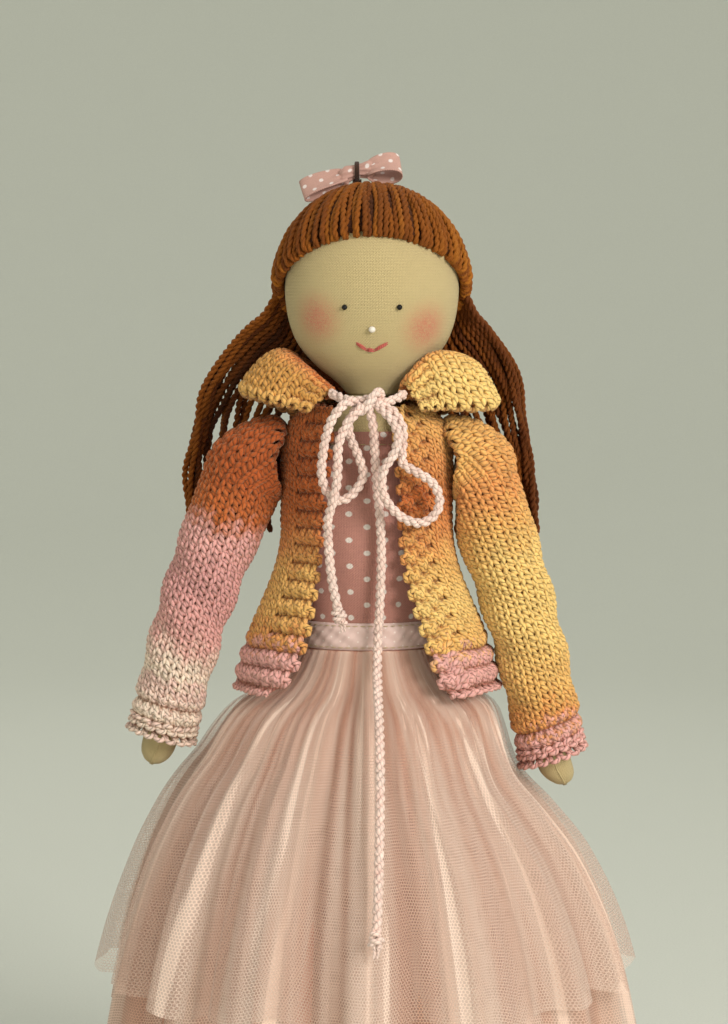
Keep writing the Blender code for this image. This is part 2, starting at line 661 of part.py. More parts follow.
def hair_direction(turn, lean):
    """A unit direction from the skull's middle: lean is counted from the gathered top."""
    level = Vector((math.sin(lean) * math.sin(turn), -math.sin(lean) * math.cos(turn), math.cos(lean)))
    return Matrix.Rotation(-HAIR_TILT, 3, "X") @ level


def hair_point(turn, lean, depth):
    """A point of the cap at a depth below its outer surface."""
    top = HEAD_HEIGHT * (1 - HAIR_RISE_SHARE)
    outside = GAP + HAIR_WALL - depth
    sizes = (HEAD_HALF_WIDTH + outside, HEAD_HALF_DEPTH + outside, top + outside)
    direction = hair_direction(turn, lean)
    return hair_centre() + Vector([size * part for size, part in zip(sizes, direction)])


def hairline(turn):
    """How far the hair reaches from its gathered top, at a turn."""
    side = math.sin(turn) ** 2
    end = HAIRLINE_FRONT if math.cos(turn) > 0 else HAIRLINE_BACK
    return end + (HAIRLINE_SIDE - end) * side


def make_hair_cap(names, materials, skull):
    """The cap of hair, a thick shell with a rolled edge, parted into front and back."""
    outer_rows, roll_rows, inner_rows = 6, 3, 3
    rows = outer_rows + roll_rows + inner_rows

    def place(u, v):
        turn = u * TURN
        row = round(v * rows)
        end = hairline(turn)
        rib = HAIR_RIB_DEPTH * (1 - math.cos(HAIR_RIBS * turn)) / 2
        if row <= outer_rows:
            lean = end * row / outer_rows
            return hair_point(turn, lean, rib * math.sin(lean))
        if row <= outer_rows + roll_rows:
            roll = math.pi * (row - outer_rows) / roll_rows
            depth = HAIR_WALL * (1 - math.cos(roll)) / 2
            edge = hair_point(turn, end, depth + rib * math.cos(roll / 2))
            down = hair_point(turn, end + HAIR_WALL / HEAD_HALF_WIDTH, depth) - hair_point(turn, end, depth)
            return edge + down.normalized() * HAIR_WALL / 2 * math.sin(roll)
        lean = end * (rows - row) / inner_rows
        return hair_point(turn, lean, HAIR_WALL)

    part_direction = hair_direction(0, math.pi / 2)
    for name, material, side in zip(names, materials, (1, -1)):
        cap = grid(HAIR_RIBS * 2, rows, place)
        bmesh.ops.recalc_face_normals(cap, faces=cap.faces)
        everything = cap.verts[:] + cap.edges[:] + cap.faces[:]
        bmesh.ops.bisect_plane(
            cap, geom=everything, dist=WELD, plane_co=hair_centre() + part_direction * side * GAP / 2,
            plane_no=part_direction * side, clear_inner=True,
        )
        close_and_orient(cap)
        cut(finish(name, cap, material), skull)


def fall_point(place_share, drop):
    """A point of the hanging hair: place -1 is its left side, 1 its right side."""
    turn = place_share * FALL_SPREAD
    back_turn = math.pi - turn
    start = hair_point(back_turn, hairline(back_turn), HAIR_WALL * FALL_TUCK_SHARE)
    start.z -= HAIR_WALL / 2 + FALL_ROOM
    end_x = (FALL_REACH_LEFT if turn < 0 else FALL_REACH_RIGHT) * math.sin(turn)
    end_y = FALL_SIDE_Y + (FALL_BACK_Y - FALL_SIDE_Y) * math.cos(turn)
    out = 1 - (1 - drop) ** 3.5
    back = 1 - (1 - drop) ** 2.4
    x = start.x + (end_x - start.x) * out
    y = start.y + (end_y - start.y) * back
    return Vector((x, y, start.z + (FALL_END_HEIGHT - start.z) * drop))


def make_falls(material):
    """The long hair, hanging behind the shoulders as three bundles of strands."""
    seam = FALL_SEAM / FALL_REACH_RIGHT
    spans = {
        "hair_fall_left": (-1, -FALL_SPLIT_SHARE - seam),
        "hair_fall_back": (-FALL_SPLIT_SHARE, FALL_SPLIT_SHARE),
        "hair_fall_right": (FALL_SPLIT_SHARE + seam, 1),
    }
    for name, (start, stop) in spans.items():
        columns = 12

        def place(u, v, start=start, stop=stop, columns=columns):
            strand = 1 if round(u * columns) % 2 else -1
            ripple = FALL_STRAND_DEPTH * strand * min(1, 3 * v) * math.sin(math.pi * u)
            point = fall_point(start + (stop - start) * u, v)
            return point + Vector((0, ripple, 0))

        cloth(name, columns, 7, place, FALL_WALL, material)


def bow_centre():
    """The place of the bow's knot, behind the crest of the hair."""
    top = hair_centre().z + HEAD_HEIGHT * (1 - HAIR_RISE_SHARE) + GAP + HAIR_WALL
    return Vector((HEAD_SHIFT - BOW_OFFSET, BOW_BACK, top + BOW_LIFT - BOW_KNOT_RADIUS))


def make_bow_loop(side, reach, height, lean, material):
    """One loop of the bow: a strip that leaves the knot, turns and comes back to it, facing forward."""
    pinch = BOW_WIDTH * BOW_PINCH_SHARE / 2 * math.sin(BOW_TILT)
    clear = BOW_KNOT_RADIUS + GAP + BOW_CLOTH / 2 - BOW_TUCK + pinch * math.sin(abs(lean))
    start = clear / math.cos(lean)

    def place(u, v):
        swing = math.pi * (2 * v - 1)
        out = start + (reach - start) * (1 + math.cos(swing)) / 2
        up = height / 2 * math.sin(swing) * math.sqrt(max(0, math.cos(swing / 2)))
        up += BOW_OPENING / 2 * (2 * v - 1)
        spread = BOW_PINCH_SHARE + (1 - BOW_PINCH_SHARE) * math.sin(math.pi * v) ** 0.5
        across = BOW_WIDTH * spread * (u - 1 / 2)
        local = Matrix.Rotation(BOW_TILT, 3, "X") @ Vector((side * out, across, up))
        return bow_centre() + Matrix.Rotation(side * lean, 3, "Y") @ local

    cloth("bow_loop_" + SIDE_NAME[side], 3, 14, place, BOW_CLOTH, material)


def make_bow(material, tie):
    """Two cloth loops on either side of a wrapped knot."""
    make_bow_loop(-1, BOW_LEFT_REACH, BOW_LEFT_HEIGHT, BOW_LEFT_DROOP, material)
    make_bow_loop(1, BOW_RIGHT_REACH, BOW_RIGHT_HEIGHT, -BOW_RIGHT_RISE, material)
    centre = bow_centre()
    top = HEAD_HEIGHT * (1 - HAIR_RISE_SHARE) + GAP + HAIR_WALL
    aside = (centre.x - HEAD_SHIFT) / (HEAD_HALF_WIDTH + HAIR_WALL)
    lean = math.hypot(aside, centre.y / (HEAD_HALF_DEPTH + HAIR_WALL))
    foot = hair_centre().z + top * math.sqrt(1 - lean**2) + GAP
    head = centre.z + BOW_KNOT_RISE
    centre.z = (head + foot) / 2
    ball("bow_knot", centre, (BOW_KNOT_RADIUS, BOW_KNOT_RADIUS, (head - foot) / 2), tie)


def clear_of_knot(point, heading):
    """Whether a cord's cross-section at a point of its route lies outside the bow's knot."""
    sizes = [half + GAP for half in TIE_KNOT_HALF]
    across = heading.orthogonal().normalized() * CORD_DIAMETER / 2
    rim = [Matrix.Rotation(TURN * step / RIM_CHECKS, 3, heading) @ across for step in range(RIM_CHECKS)]
    offsets = [point + spoke - Vector(TIE_KNOT_PLACE) for spoke in rim]
    return all(sum((part / size) ** 2 for part, size in zip(offset, sizes)) > 1 for offset in offsets)


def smooth_route(points, step):
    """Points a step apart on a smooth curve through a route's own points, outside the knot."""
    vectors = [Vector(point) for point in points]
    padded = [vectors[0] * 2 - vectors[1], *vectors, vectors[-1] * 2 - vectors[-2]]
    fine = []
    for before, low, high, after in zip(padded, padded[1:], padded[2:], padded[3:]):
        count = max(1, round((high - low).length / GAP))
        for index in range(count):
            t = index / count
            fine.append(
                (low * 2 + (high - before) * t + (before * 2 - low * 5 + high * 4 - after) * t**2
                 + (low * 3 - before - high * 3 + after) * t**3) / 2
            )
    fine.append(vectors[-1])
    headings = [after - before for before, after in zip(fine, fine[1:])]
    headings.append(headings[-1])
    fine = [point for point, heading in zip(fine, headings) if clear_of_knot(point, heading)]
    lengths = [0.0]
    for low, high in zip(fine, fine[1:]):
        lengths.append(lengths[-1] + (high - low).length)
    count = max(2, round(lengths[-1] / step))
    route, index = [], 0
    for place in range(count + 1):
        wanted = lengths[-1] * place / count
        while index < len(lengths) - 2 and lengths[index + 1] < wanted:
            index += 1
        t = (wanted - lengths[index]) / max(lengths[index + 1] - lengths[index], WELD)
        route.append(fine[index].lerp(fine[index + 1], min(t, 1)))
    return route


def tube(name, route, diameter, material):
    """A round cord along a route of points."""
    curve = bpy.data.curves.new(name, "CURVE")
    curve.dimensions = "3D"
    curve.bevel_depth = diameter / 2
    curve.bevel_resolution = CORD_SIDES
    curve.use_fill_caps = True
    spline = curve.splines.new("POLY")
    spline.points.add(len(route) - 1)
    for point, place in zip(spline.points, route):
        point.co = (*place, 1)
    curve.materials.append(material)
    piece = bpy.data.objects.new(name, curve)
    bpy.context.scene.collection.objects.link(piece)
    return piece


def make_tie(material):
    """The cord that ties the cardigan: neck stretches, two bow loops, two tails and knots."""
    ball("tie_knot", Vector(TIE_KNOT_PLACE), TIE_KNOT_HALF, material, 14)
    stretches = {
        "tie_neck_left": TIE_NECK_LEFT, "tie_neck_right": TIE_NECK_RIGHT,
        "tie_loop_left": TIE_LOOP_LEFT, "tie_loop_right": TIE_LOOP_RIGHT,
        "tie_tail_left": TIE_TAIL_LEFT, "tie_tail_right": TIE_TAIL_RIGHT,
    }
    for name, points in stretches.items():
        tube(name, smooth_route(points, CORD_STEP), CORD_DIAMETER, material)
    for side, points in ((-1, TIE_TAIL_LEFT), (1, TIE_TAIL_RIGHT)):
        end = Vector(points[-1])
        heading = (end - Vector(points[-2])).normalized()
        name = "tail_knot_" + SIDE_NAME[side]
        ball(name, end + heading * (END_KNOT_HALF[2] + GAP), END_KNOT_HALF, material)


def clear_scene():
    """Remove what the scene starts with."""
    for piece in list(bpy.data.objects):
        bpy.data.objects.remove(piece, do_unlink=True)


def build():
    """Make every piece of the doll."""
    clear_scene()
    skin = fabric("skin_cloth", (0.62, 0.49, 0.30))
    hips = pivot("hip_line", Vector((0, 0, HIP_HEIGHT)))
    shoulders = pivot("shoulder_line", Vector((0, 0, SHOULDER_HEIGHT)))
    knit = {-1: fabric("knit_rose", (0.72, 0.42, 0.36)), 1: fabric("knit_gold", (0.83, 0.50, 0.17))}
    knit_body = fabric("knit_rust", (0.66, 0.29, 0.10))
    make_torso(skin)
    stuffed("head", head_rings(0), BODY_COLUMNS + 8, skin)
    make_face(
        fabric("eye_bead", (0.01, 0.01, 0.01), 0.2), fabric("pearl", (0.9, 0.86, 0.8), 0.25),
        fabric("mouth_thread", (0.75, 0.25, 0.22)),
    )
    armholes = armhole_cutter(skin)
    for side in (-1, 1):
        make_leg(side, skin, hips)
        make_arm(side, skin, shoulders)
        make_sleeve(side, knit[side], shoulders)
    make_bodice(fabric("dotted_cotton", (0.48, 0.20, 0.17)), armholes)
    make_waistband(fabric("satin_band", (0.75, 0.58, 0.53), 0.5))
    tulle = fabric("tulle", (0.86, 0.63, 0.55))
    make_tulle("tulle_under", 0, UNDER_HEM, tulle)
    make_tulle("tulle_middle", 1, MIDDLE_HEM, tulle)
    make_tulle("tulle_overlay", 2, OVERLAY_HEM, tulle)
    make_cardigan(knit_body, armholes)
    make_hood(fabric("knit_yellow", (0.84, 0.58, 0.24)))
    hair = fabric("hair_yarn", (0.22, 0.09, 0.02))
    skull = as_cutter(stuffed("skull_space", head_rings(GAP), BODY_COLUMNS + 8, skin))
    make_hair_cap(("hair_crown", "hair_cap"), (hair, hair), skull)
    make_falls(hair)
    make_bow(fabric("bow_cotton", (0.66, 0.36, 0.34)), fabric("bow_tie_thread", (0.25, 0.12, 0.06)))
    make_tie(fabric("tie_cord", (0.84, 0.66, 0.58)))


build()
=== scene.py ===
"""Looks of a standing cloth doll: yarn hair, sewn face, dotted bodice, net skirt and a knitted cardigan.

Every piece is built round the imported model, in metres, with the doll facing -Y. Left and
right are as a viewer in front of the doll sees them, so left is -X. The cardigan is laid
out stitch by stitch, the hair and the tie cord ply by ply, and the skirt is sheets of net.
"""

import logging
import math
from dataclasses import dataclass, field
from enum import Enum
from typing import Callable, Iterable, Sequence

import bmesh
import bpy
import numpy as np
from mathutils import Matrix, Vector

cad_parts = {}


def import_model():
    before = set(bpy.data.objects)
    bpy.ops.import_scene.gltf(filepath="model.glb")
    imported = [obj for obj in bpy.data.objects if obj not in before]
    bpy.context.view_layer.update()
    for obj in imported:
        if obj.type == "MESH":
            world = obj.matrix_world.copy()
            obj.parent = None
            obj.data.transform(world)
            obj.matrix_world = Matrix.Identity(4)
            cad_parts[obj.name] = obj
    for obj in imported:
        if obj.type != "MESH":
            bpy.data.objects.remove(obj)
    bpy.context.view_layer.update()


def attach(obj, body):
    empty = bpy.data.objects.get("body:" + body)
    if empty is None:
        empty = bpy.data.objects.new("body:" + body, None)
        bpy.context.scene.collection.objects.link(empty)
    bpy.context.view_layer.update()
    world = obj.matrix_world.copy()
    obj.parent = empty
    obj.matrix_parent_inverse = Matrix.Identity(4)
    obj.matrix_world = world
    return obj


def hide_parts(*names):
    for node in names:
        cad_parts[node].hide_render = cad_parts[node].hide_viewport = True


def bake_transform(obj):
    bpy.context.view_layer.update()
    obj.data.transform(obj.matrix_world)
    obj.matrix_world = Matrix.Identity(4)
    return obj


LOG = logging.getLogger("doll")
TURN = 2 * math.pi
WELD = 0.000002
GAP = 0.0003
BACKWARD = np.array((0.0, 1.0, 0.0))
UPWARD = np.array((0.0, 0.0, 1.0))
Points = np.ndarray
Numbers = np.ndarray | float
Spot = tuple[float, float, float]
Colour = tuple[float, float, float]
Stops = tuple[tuple[float, Colour], ...]
SurfaceMap = Callable[[Points, Points], Points]
Piece = bpy.types.Object
Tree = bpy.types.NodeTree
Socket = bpy.types.NodeSocket


class Side(Enum):
    """The two sides of the doll, as a viewer in front of it sees them."""

    LEFT = -1
    RIGHT = 1

    @property
    def word(self) -> str:
        """The side's word in the names of pieces."""
        return self.name.lower()


class Body(Enum):
    """The bodies that the pieces move with."""

    DOLL = "doll"
    LEFT_ARM = "left_arm"
    RIGHT_ARM = "right_arm"
    LEFT_LEG = "left_leg"
    RIGHT_LEG = "right_leg"

    @classmethod
    def arm(cls, side: Side) -> "Body":
        """The arm on a side."""
        return cls.LEFT_ARM if side is Side.LEFT else cls.RIGHT_ARM

    @classmethod
    def leg(cls, side: Side) -> "Body":
        """The leg on a side."""
        return cls.LEFT_LEG if side is Side.LEFT else cls.RIGHT_LEG


def srgb(red: int, green: int, blue: int) -> Colour:
    """A linear colour from the 0 to 255 values that a screen shows.

    Args:
        red: Red as shown.
        green: Green as shown.
        blue: Blue as shown.

    Returns:
        The three linear values.
    """
    shown = [part / 255 for part in (red, green, blue)]
    return tuple(part / 12.92 if part <= 0.04045 else ((part + 0.055) / 1.055) ** 2.4 for part in shown)


@dataclass(frozen=True)
class Profile:
    """A smooth curve through rows of (place, value, ...), given as shares of a size."""

    rows: tuple[tuple[float, ...], ...]

    def at(self, place: Numbers) -> Points:
        """Read the curve.

        Args:
            place: One place or an array of places along the rows.

        Returns:
            The values, with the table's columns on the last axis.
        """
        table = np.array(self.rows, float)
        knots, values = table[:, 0], table[:, 1:]
        before = np.maximum(np.arange(len(knots)) - 1, 0)
        after = np.minimum(np.arange(len(knots)) + 1, len(knots) - 1)
        slopes = (values[after] - values[before]) / (knots[after] - knots[before])[:, None]
        place = np.clip(np.asarray(place, float), knots[0], knots[-1])
        low = np.clip(np.searchsorted(knots, place, side="right") - 1, 0, len(knots) - 2)
        span = (knots[low + 1] - knots[low])[..., None]
        t = (place - knots[low])[..., None] / span
        return (
            (2 * t**3 - 3 * t**2 + 1) * values[low] + (t**3 - 2 * t**2 + t) * span * slopes[low]
            + (3 * t**2 - 2 * t**3) * values[low + 1] + (t**3 - t**2) * span * slopes[low + 1]
        )


def stack(x: Numbers, y: Numbers, z: Numbers) -> Points:
    """Join coordinates into points.

    Args:
        x: The x places.
        y: The y places.
        z: The z places.

    Returns:
        An array whose last axis is x, y, z.
    """
    return np.stack(np.broadcast_arrays(x, y, z), axis=-1).astype(float)


def oval(width: Numbers, depth: Numbers, turn: Points, height: Numbers) -> Points:
    """Points of a level oval at turns from the front towards the right."""
    return stack(width * np.sin(turn), -depth * np.cos(turn), height)


def unit(vectors: Points) -> Points:
    """Vectors brought to length one."""
    return vectors / np.maximum(np.linalg.norm(vectors, axis=-1, keepdims=True), 1e-9)


def smooth_step(values: Numbers, low: float, high: float) -> Points:
    """A soft step from 0 at low to 1 at high."""
    t = np.clip((np.asarray(values, float) - low) / (high - low), 0, 1)
    return t * t * (3 - 2 * t)


def measured(path: Points) -> Points:
    """The length along a path at each of its points."""
    return np.concatenate([[0.0], np.cumsum(np.linalg.norm(np.diff(path, axis=0), axis=1))])


def respaced(path: Points, step: float) -> Points:
    """Points at an even step along a path."""
    lengths = measured(path)
    count = max(3, round(lengths[-1] / step) + 1)
    wanted = np.linspace(0, lengths[-1], count)
    return np.stack([np.interp(wanted, lengths, path[:, axis]) for axis in range(3)], axis=-1)


def curve_through(points: Sequence[Sequence[float]], fine: int = 16) -> Points:
    """A smooth path through a few points.

    Args:
        points: The points that shape the path.
        fine: How many steps each stretch between two points gets.

    Returns:
        The points of the path.
    """
    rows = tuple((float(index), *point) for index, point in enumerate(points))
    return Profile(rows).at(np.linspace(0, len(points) - 1, (len(points) - 1) * fine + 1))


def frames_along(path: Points) -> tuple[Points, Points]:
    """Two directions across a path that turn with it as little as they can.

    Args:
        path: The points of the path.

    Returns:
        Two arrays of unit vectors, square to the path and to each other.
    """
    heading = unit(np.gradient(path, axis=0))
    first = np.cross(heading[0], (0.0, 1.0, 0.2))
    across = np.empty_like(path)
    across[0] = unit(first)
    for index in range(1, len(path)):
        carried = across[index - 1] - heading[index] * np.dot(across[index - 1], heading[index])
        across[index] = carried / max(np.linalg.norm(carried), 1e-9)
    return across, np.cross(heading, across)


@dataclass
class Strand:
    """One length of yarn or thread: its path and where it lies in the piece."""

    path: Points
    place: Points
    thickness: Points | None = None


@dataclass(frozen=True)
class Yarn:
    """A yarn twisted from plies."""

    plies: int
    ply_radius: float
    ply_offset: float
    pitch: float
    step: float

    def twist(self, path: Points, tone: float, phase: float = 0.0, taper: float = 0.0) -> list[Strand]:
        """Lay the plies of a yarn round a path.

        Args:
            path: The middle of the yarn.
            tone: The strand's own shade, from 0 to 1.
            phase: The turn at which the first ply starts.
            taper: The share of the length at each end over which the yarn narrows.

        Returns:
            One strand for each ply.
        """
        path = respaced(path, self.step)
        lengths = measured(path)
        across, up = frames_along(path)
        share = lengths / lengths[-1]
        slim = np.ones(len(path))
        if taper:
            slim = 0.35 + 0.65 * smooth_step(np.minimum(share, 1 - share), 0, taper)
        strands = []
        for ply in range(self.plies):
            angle = (TURN * (lengths / self.pitch + ply / self.plies) + phase)[:, None]
            middle = path + self.ply_offset * slim[:, None] * (across * np.cos(angle) + up * np.sin(angle))
            place = np.stack([np.full(len(path), tone), share], axis=-1)
            strands.append(Strand(middle, place, slim))
        return strands


def new_object(name: str, data: bpy.types.ID) -> Piece:
    """Put a mesh, curve, lamp or camera into the scene as an object at the origin."""
    piece = bpy.data.objects.new(name, data)
    bpy.context.scene.collection.objects.link(piece)
    return piece


def mark(mesh: bpy.types.Mesh, name: str, values: Points) -> None:
    """Keep a vector for each point of a mesh in an attribute."""
    mesh.attributes.new(name, "FLOAT_VECTOR", "POINT").data.foreach_set("vector", values.ravel())


def tubes(name: str, strands: Sequence[Strand], radius: float, fineness: int = 1) -> Piece:
    """Round tubes along strands, joined in one mesh piece.

    Each point keeps how far round the tube and how far along it lies in the attribute lay,
    and the strand's own place in the attribute place.

    Args:
        name: The piece's name.
        strands: The strands to follow.
        radius: The radius of the tubes.
        fineness: The curve's bevel resolution; a tube has 4 sides and two more for each step.

    Returns:
        The mesh object.
    """
    curve = bpy.data.curves.new(name, "CURVE")
    curve.dimensions = "3D"
    curve.bevel_depth = radius
    curve.bevel_resolution = fineness
    curve.use_fill_caps = True
    for strand in strands:
        spline = curve.splines.new("POLY")
        spline.points.add(len(strand.path) - 1)
        flat = np.concatenate([strand.path, np.ones((len(strand.path), 1))], axis=1)
        spline.points.foreach_set("co", flat.ravel())
        if strand.thickness is not None:
            spline.points.foreach_set("radius", np.asarray(strand.thickness, float))
    guide = new_object(name + "_guide", curve)
    evaluated = guide.evaluated_get(bpy.context.evaluated_depsgraph_get())
    mesh = bpy.data.meshes.new_from_object(evaluated)
    bpy.data.objects.remove(guide, do_unlink=True)
    bpy.data.curves.remove(curve)
    mesh.name = name
    sides = 4 + 2 * fineness
    around = np.arange(sides) * TURN / sides
    lays, places = [], []
    for strand in strands:
        lays.append(stack(np.cos(around), np.sin(around), measured(strand.path)[:, None]))
        full = np.ones((len(strand.path), 1, 3))
        full[:, 0, :strand.place.shape[1]] = strand.place
        places.append(np.repeat(full, sides, axis=1))
    for label, parts in (("lay", lays), ("place", places)):
        caps = [part[end] for part in reversed(parts) for end in (-1, 0)]
        values = np.concatenate(caps + [part.reshape(-1, 3) for part in parts])
        if len(values) != len(mesh.vertices):
            raise ValueError(f"{name}: {len(values)} places for {len(mesh.vertices)} points")
        mark(mesh, label, values)
    mesh.shade_smooth()
    mesh.update()
    return new_object(name, mesh)


def sheet_of(
    name: str, surface: SurfaceMap, columns: int, rows: int, cloth: SurfaceMap | None = None
) -> Piece:
    """A grid laid on a surface, with its place on the flat cloth in metres as its UV map.

    Args:
        name: The piece's name.
        surface: Gives points for arrays of shares across and along.
        columns: Faces across.
        rows: Faces along.
        cloth: Gives the flat place in metres for the same shares, or none for arc lengths.

    Returns:
        The mesh object.
    """
    form = bmesh.new()
    bmesh.ops.create_grid(form, x_segments=columns, y_segments=rows, size=1)
    mesh = bpy.data.meshes.new(name)
    form.to_mesh(mesh)
    form.free()
    flat = np.empty(len(mesh.vertices) * 3)
    mesh.vertices.foreach_get("co", flat)
    across, along = (flat.reshape(-1, 3)[:, axis] / 2 + 0.5 for axis in (0, 1))
    mesh.vertices.foreach_set("co", surface(across, along).ravel())
    if cloth is None:
        cloth = arc_lengths(surface)
    flat_place = cloth(across, along)[:, :2]
    corner = np.empty(len(mesh.loops), int)
    mesh.loops.foreach_get("vertex_index", corner)
    layer = mesh.uv_layers.new(name="cloth")
    layer.data.foreach_set("uv", flat_place[corner].ravel())
    mesh.shade_smooth()
    mesh.update()
    return new_object(name, mesh)


def arc_lengths(surface: SurfaceMap) -> SurfaceMap:
    """A flat layout whose sizes are the surface's own lengths across and along its middle.

    Args:
        surface: The surface to measure.

    Returns:
        A layout that gives flat places in metres.
    """
    shares = np.linspace(0, 1, 65)
    across = measured(surface(shares, np.full(65, 0.5)))
    along = measured(surface(np.full(65, 0.5), shares))

    def cloth(u: Points, v: Points) -> Points:
        return stack(np.interp(u, shares, across), np.interp(v, shares, along), 0.0)

    return cloth


def welded(piece: Piece, fill: bool) -> Piece:
    """Weld a piece's seam, fill its open ends where asked to, and point its faces out."""
    form = bmesh.new()
    form.from_mesh(piece.data)
    bmesh.ops.remove_doubles(form, verts=form.verts, dist=WELD)
    if fill:
        rims = [edge for edge in form.edges if edge.is_boundary]
        bmesh.ops.holes_fill(form, edges=rims, sides=0)
    bmesh.ops.recalc_face_normals(form, faces=form.faces)
    form.to_mesh(piece.data)
    form.free()
    piece.data.update()
    return piece


def joined(name: str, pieces: Iterable[Piece]) -> Piece:
    """Join pieces into one mesh object, keeping their layers and materials.

    Args:
        name: The joined piece's name.
        pieces: The pieces, which are used up.

    Returns:
        The joined piece.
    """
    pieces = list(pieces)
    with bpy.context.temp_override(
        active_object=pieces[0], object=pieces[0], selected_objects=pieces, selected_editable_objects=pieces
    ):
        bpy.ops.object.join()
    pieces[0].name = name
    pieces[0].data.name = name
    return pieces[0]


def walled(piece: Piece, wall: float) -> None:
    """Give a sheet a wall, half of it on each side."""
    modifier = piece.modifiers.new("solidify", "SOLIDIFY")
    modifier.thickness = wall
    modifier.offset = 0.0


def ball(name: str, centre: Sequence[float], half_sizes: Sequence[float], segments: int = 24) -> Piece:
    """A ball stretched to its half sizes.

    Args:
        name: The piece's name.
        centre: The ball's middle.
        half_sizes: Its half sizes along x, y and z.
        segments: How many faces go round it.

    Returns:
        The mesh object.
    """
    form = bmesh.new()
    place = Matrix.Translation(Vector(centre)) @ Matrix.Diagonal((*half_sizes, 1))
    bmesh.ops.create_uvsphere(form, u_segments=segments, v_segments=segments // 2, radius=1, matrix=place)
    mesh = bpy.data.meshes.new(name)
    form.to_mesh(mesh)
    form.free()
    mesh.shade_smooth()
    return new_object(name, mesh)


def settle(
    piece: Piece, body: Body, slot: str, nodes: Sequence[str], finish: "Finish",
    towards: Body | None = None, start: Spot = (0, 0, 0), end: Spot = (0, 0, 0),
) -> None:
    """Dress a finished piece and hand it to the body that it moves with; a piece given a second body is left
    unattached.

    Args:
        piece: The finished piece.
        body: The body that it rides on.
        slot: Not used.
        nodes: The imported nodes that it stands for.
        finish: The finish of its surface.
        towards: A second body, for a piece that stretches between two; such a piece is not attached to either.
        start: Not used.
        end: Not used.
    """
    piece.data.materials.clear()
    piece.data.materials.append(finish.material())
    if towards:
        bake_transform(piece)
    else:
        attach(piece, body.value)
    if nodes:
        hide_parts(*nodes)
    LOG.info("%s: %d points, rides on %s", piece.name, len(piece.data.vertices), body.value)


class Value:
    """A number, vector or colour in a shader tree, so that sums of them can be written plainly."""

    def __init__(self, graph: "Graph", socket: Socket) -> None:
        self.graph = graph
        self.socket = socket

    def __add__(self, other: object) -> "Value":
        """The sum."""
        return self.graph.math("ADD", self, other)

    def __radd__(self, other: object) -> "Value":
        """The sum with a plain number on the left."""
        return self.graph.math("ADD", other, self)

    def __sub__(self, other: object) -> "Value":
        """The difference."""
        return self.graph.math("SUBTRACT", self, other)

    def __rsub__(self, other: object) -> "Value":
        """The difference from a plain number."""
        return self.graph.math("SUBTRACT", other, self)

    def __mul__(self, other: object) -> "Value":
        """The product."""
        return self.graph.math("MULTIPLY", self, other)

    def __truediv__(self, other: object) -> "Value":
        """The quotient."""
        return self.graph.math("DIVIDE", self, other)

    def __abs__(self) -> "Value":
        """The number without its sign."""
        return self.graph.math("ABSOLUTE", self)

    def floor(self) -> "Value":
        """The whole number below."""
        return self.graph.math("FLOOR", self)

    def odd(self) -> "Value":
        """1 for an odd whole number, 0 for an even one."""
        return self.graph.math("PINGPONG", self, 1.0)

    def centred(self) -> "Value":
        """How far the number lies from the middle between two whole numbers."""
        return self.graph.math("FRACT", self) - 0.5

    def sine(self) -> "Value":
        """The sine."""
        return self.graph.math("SINE", self)


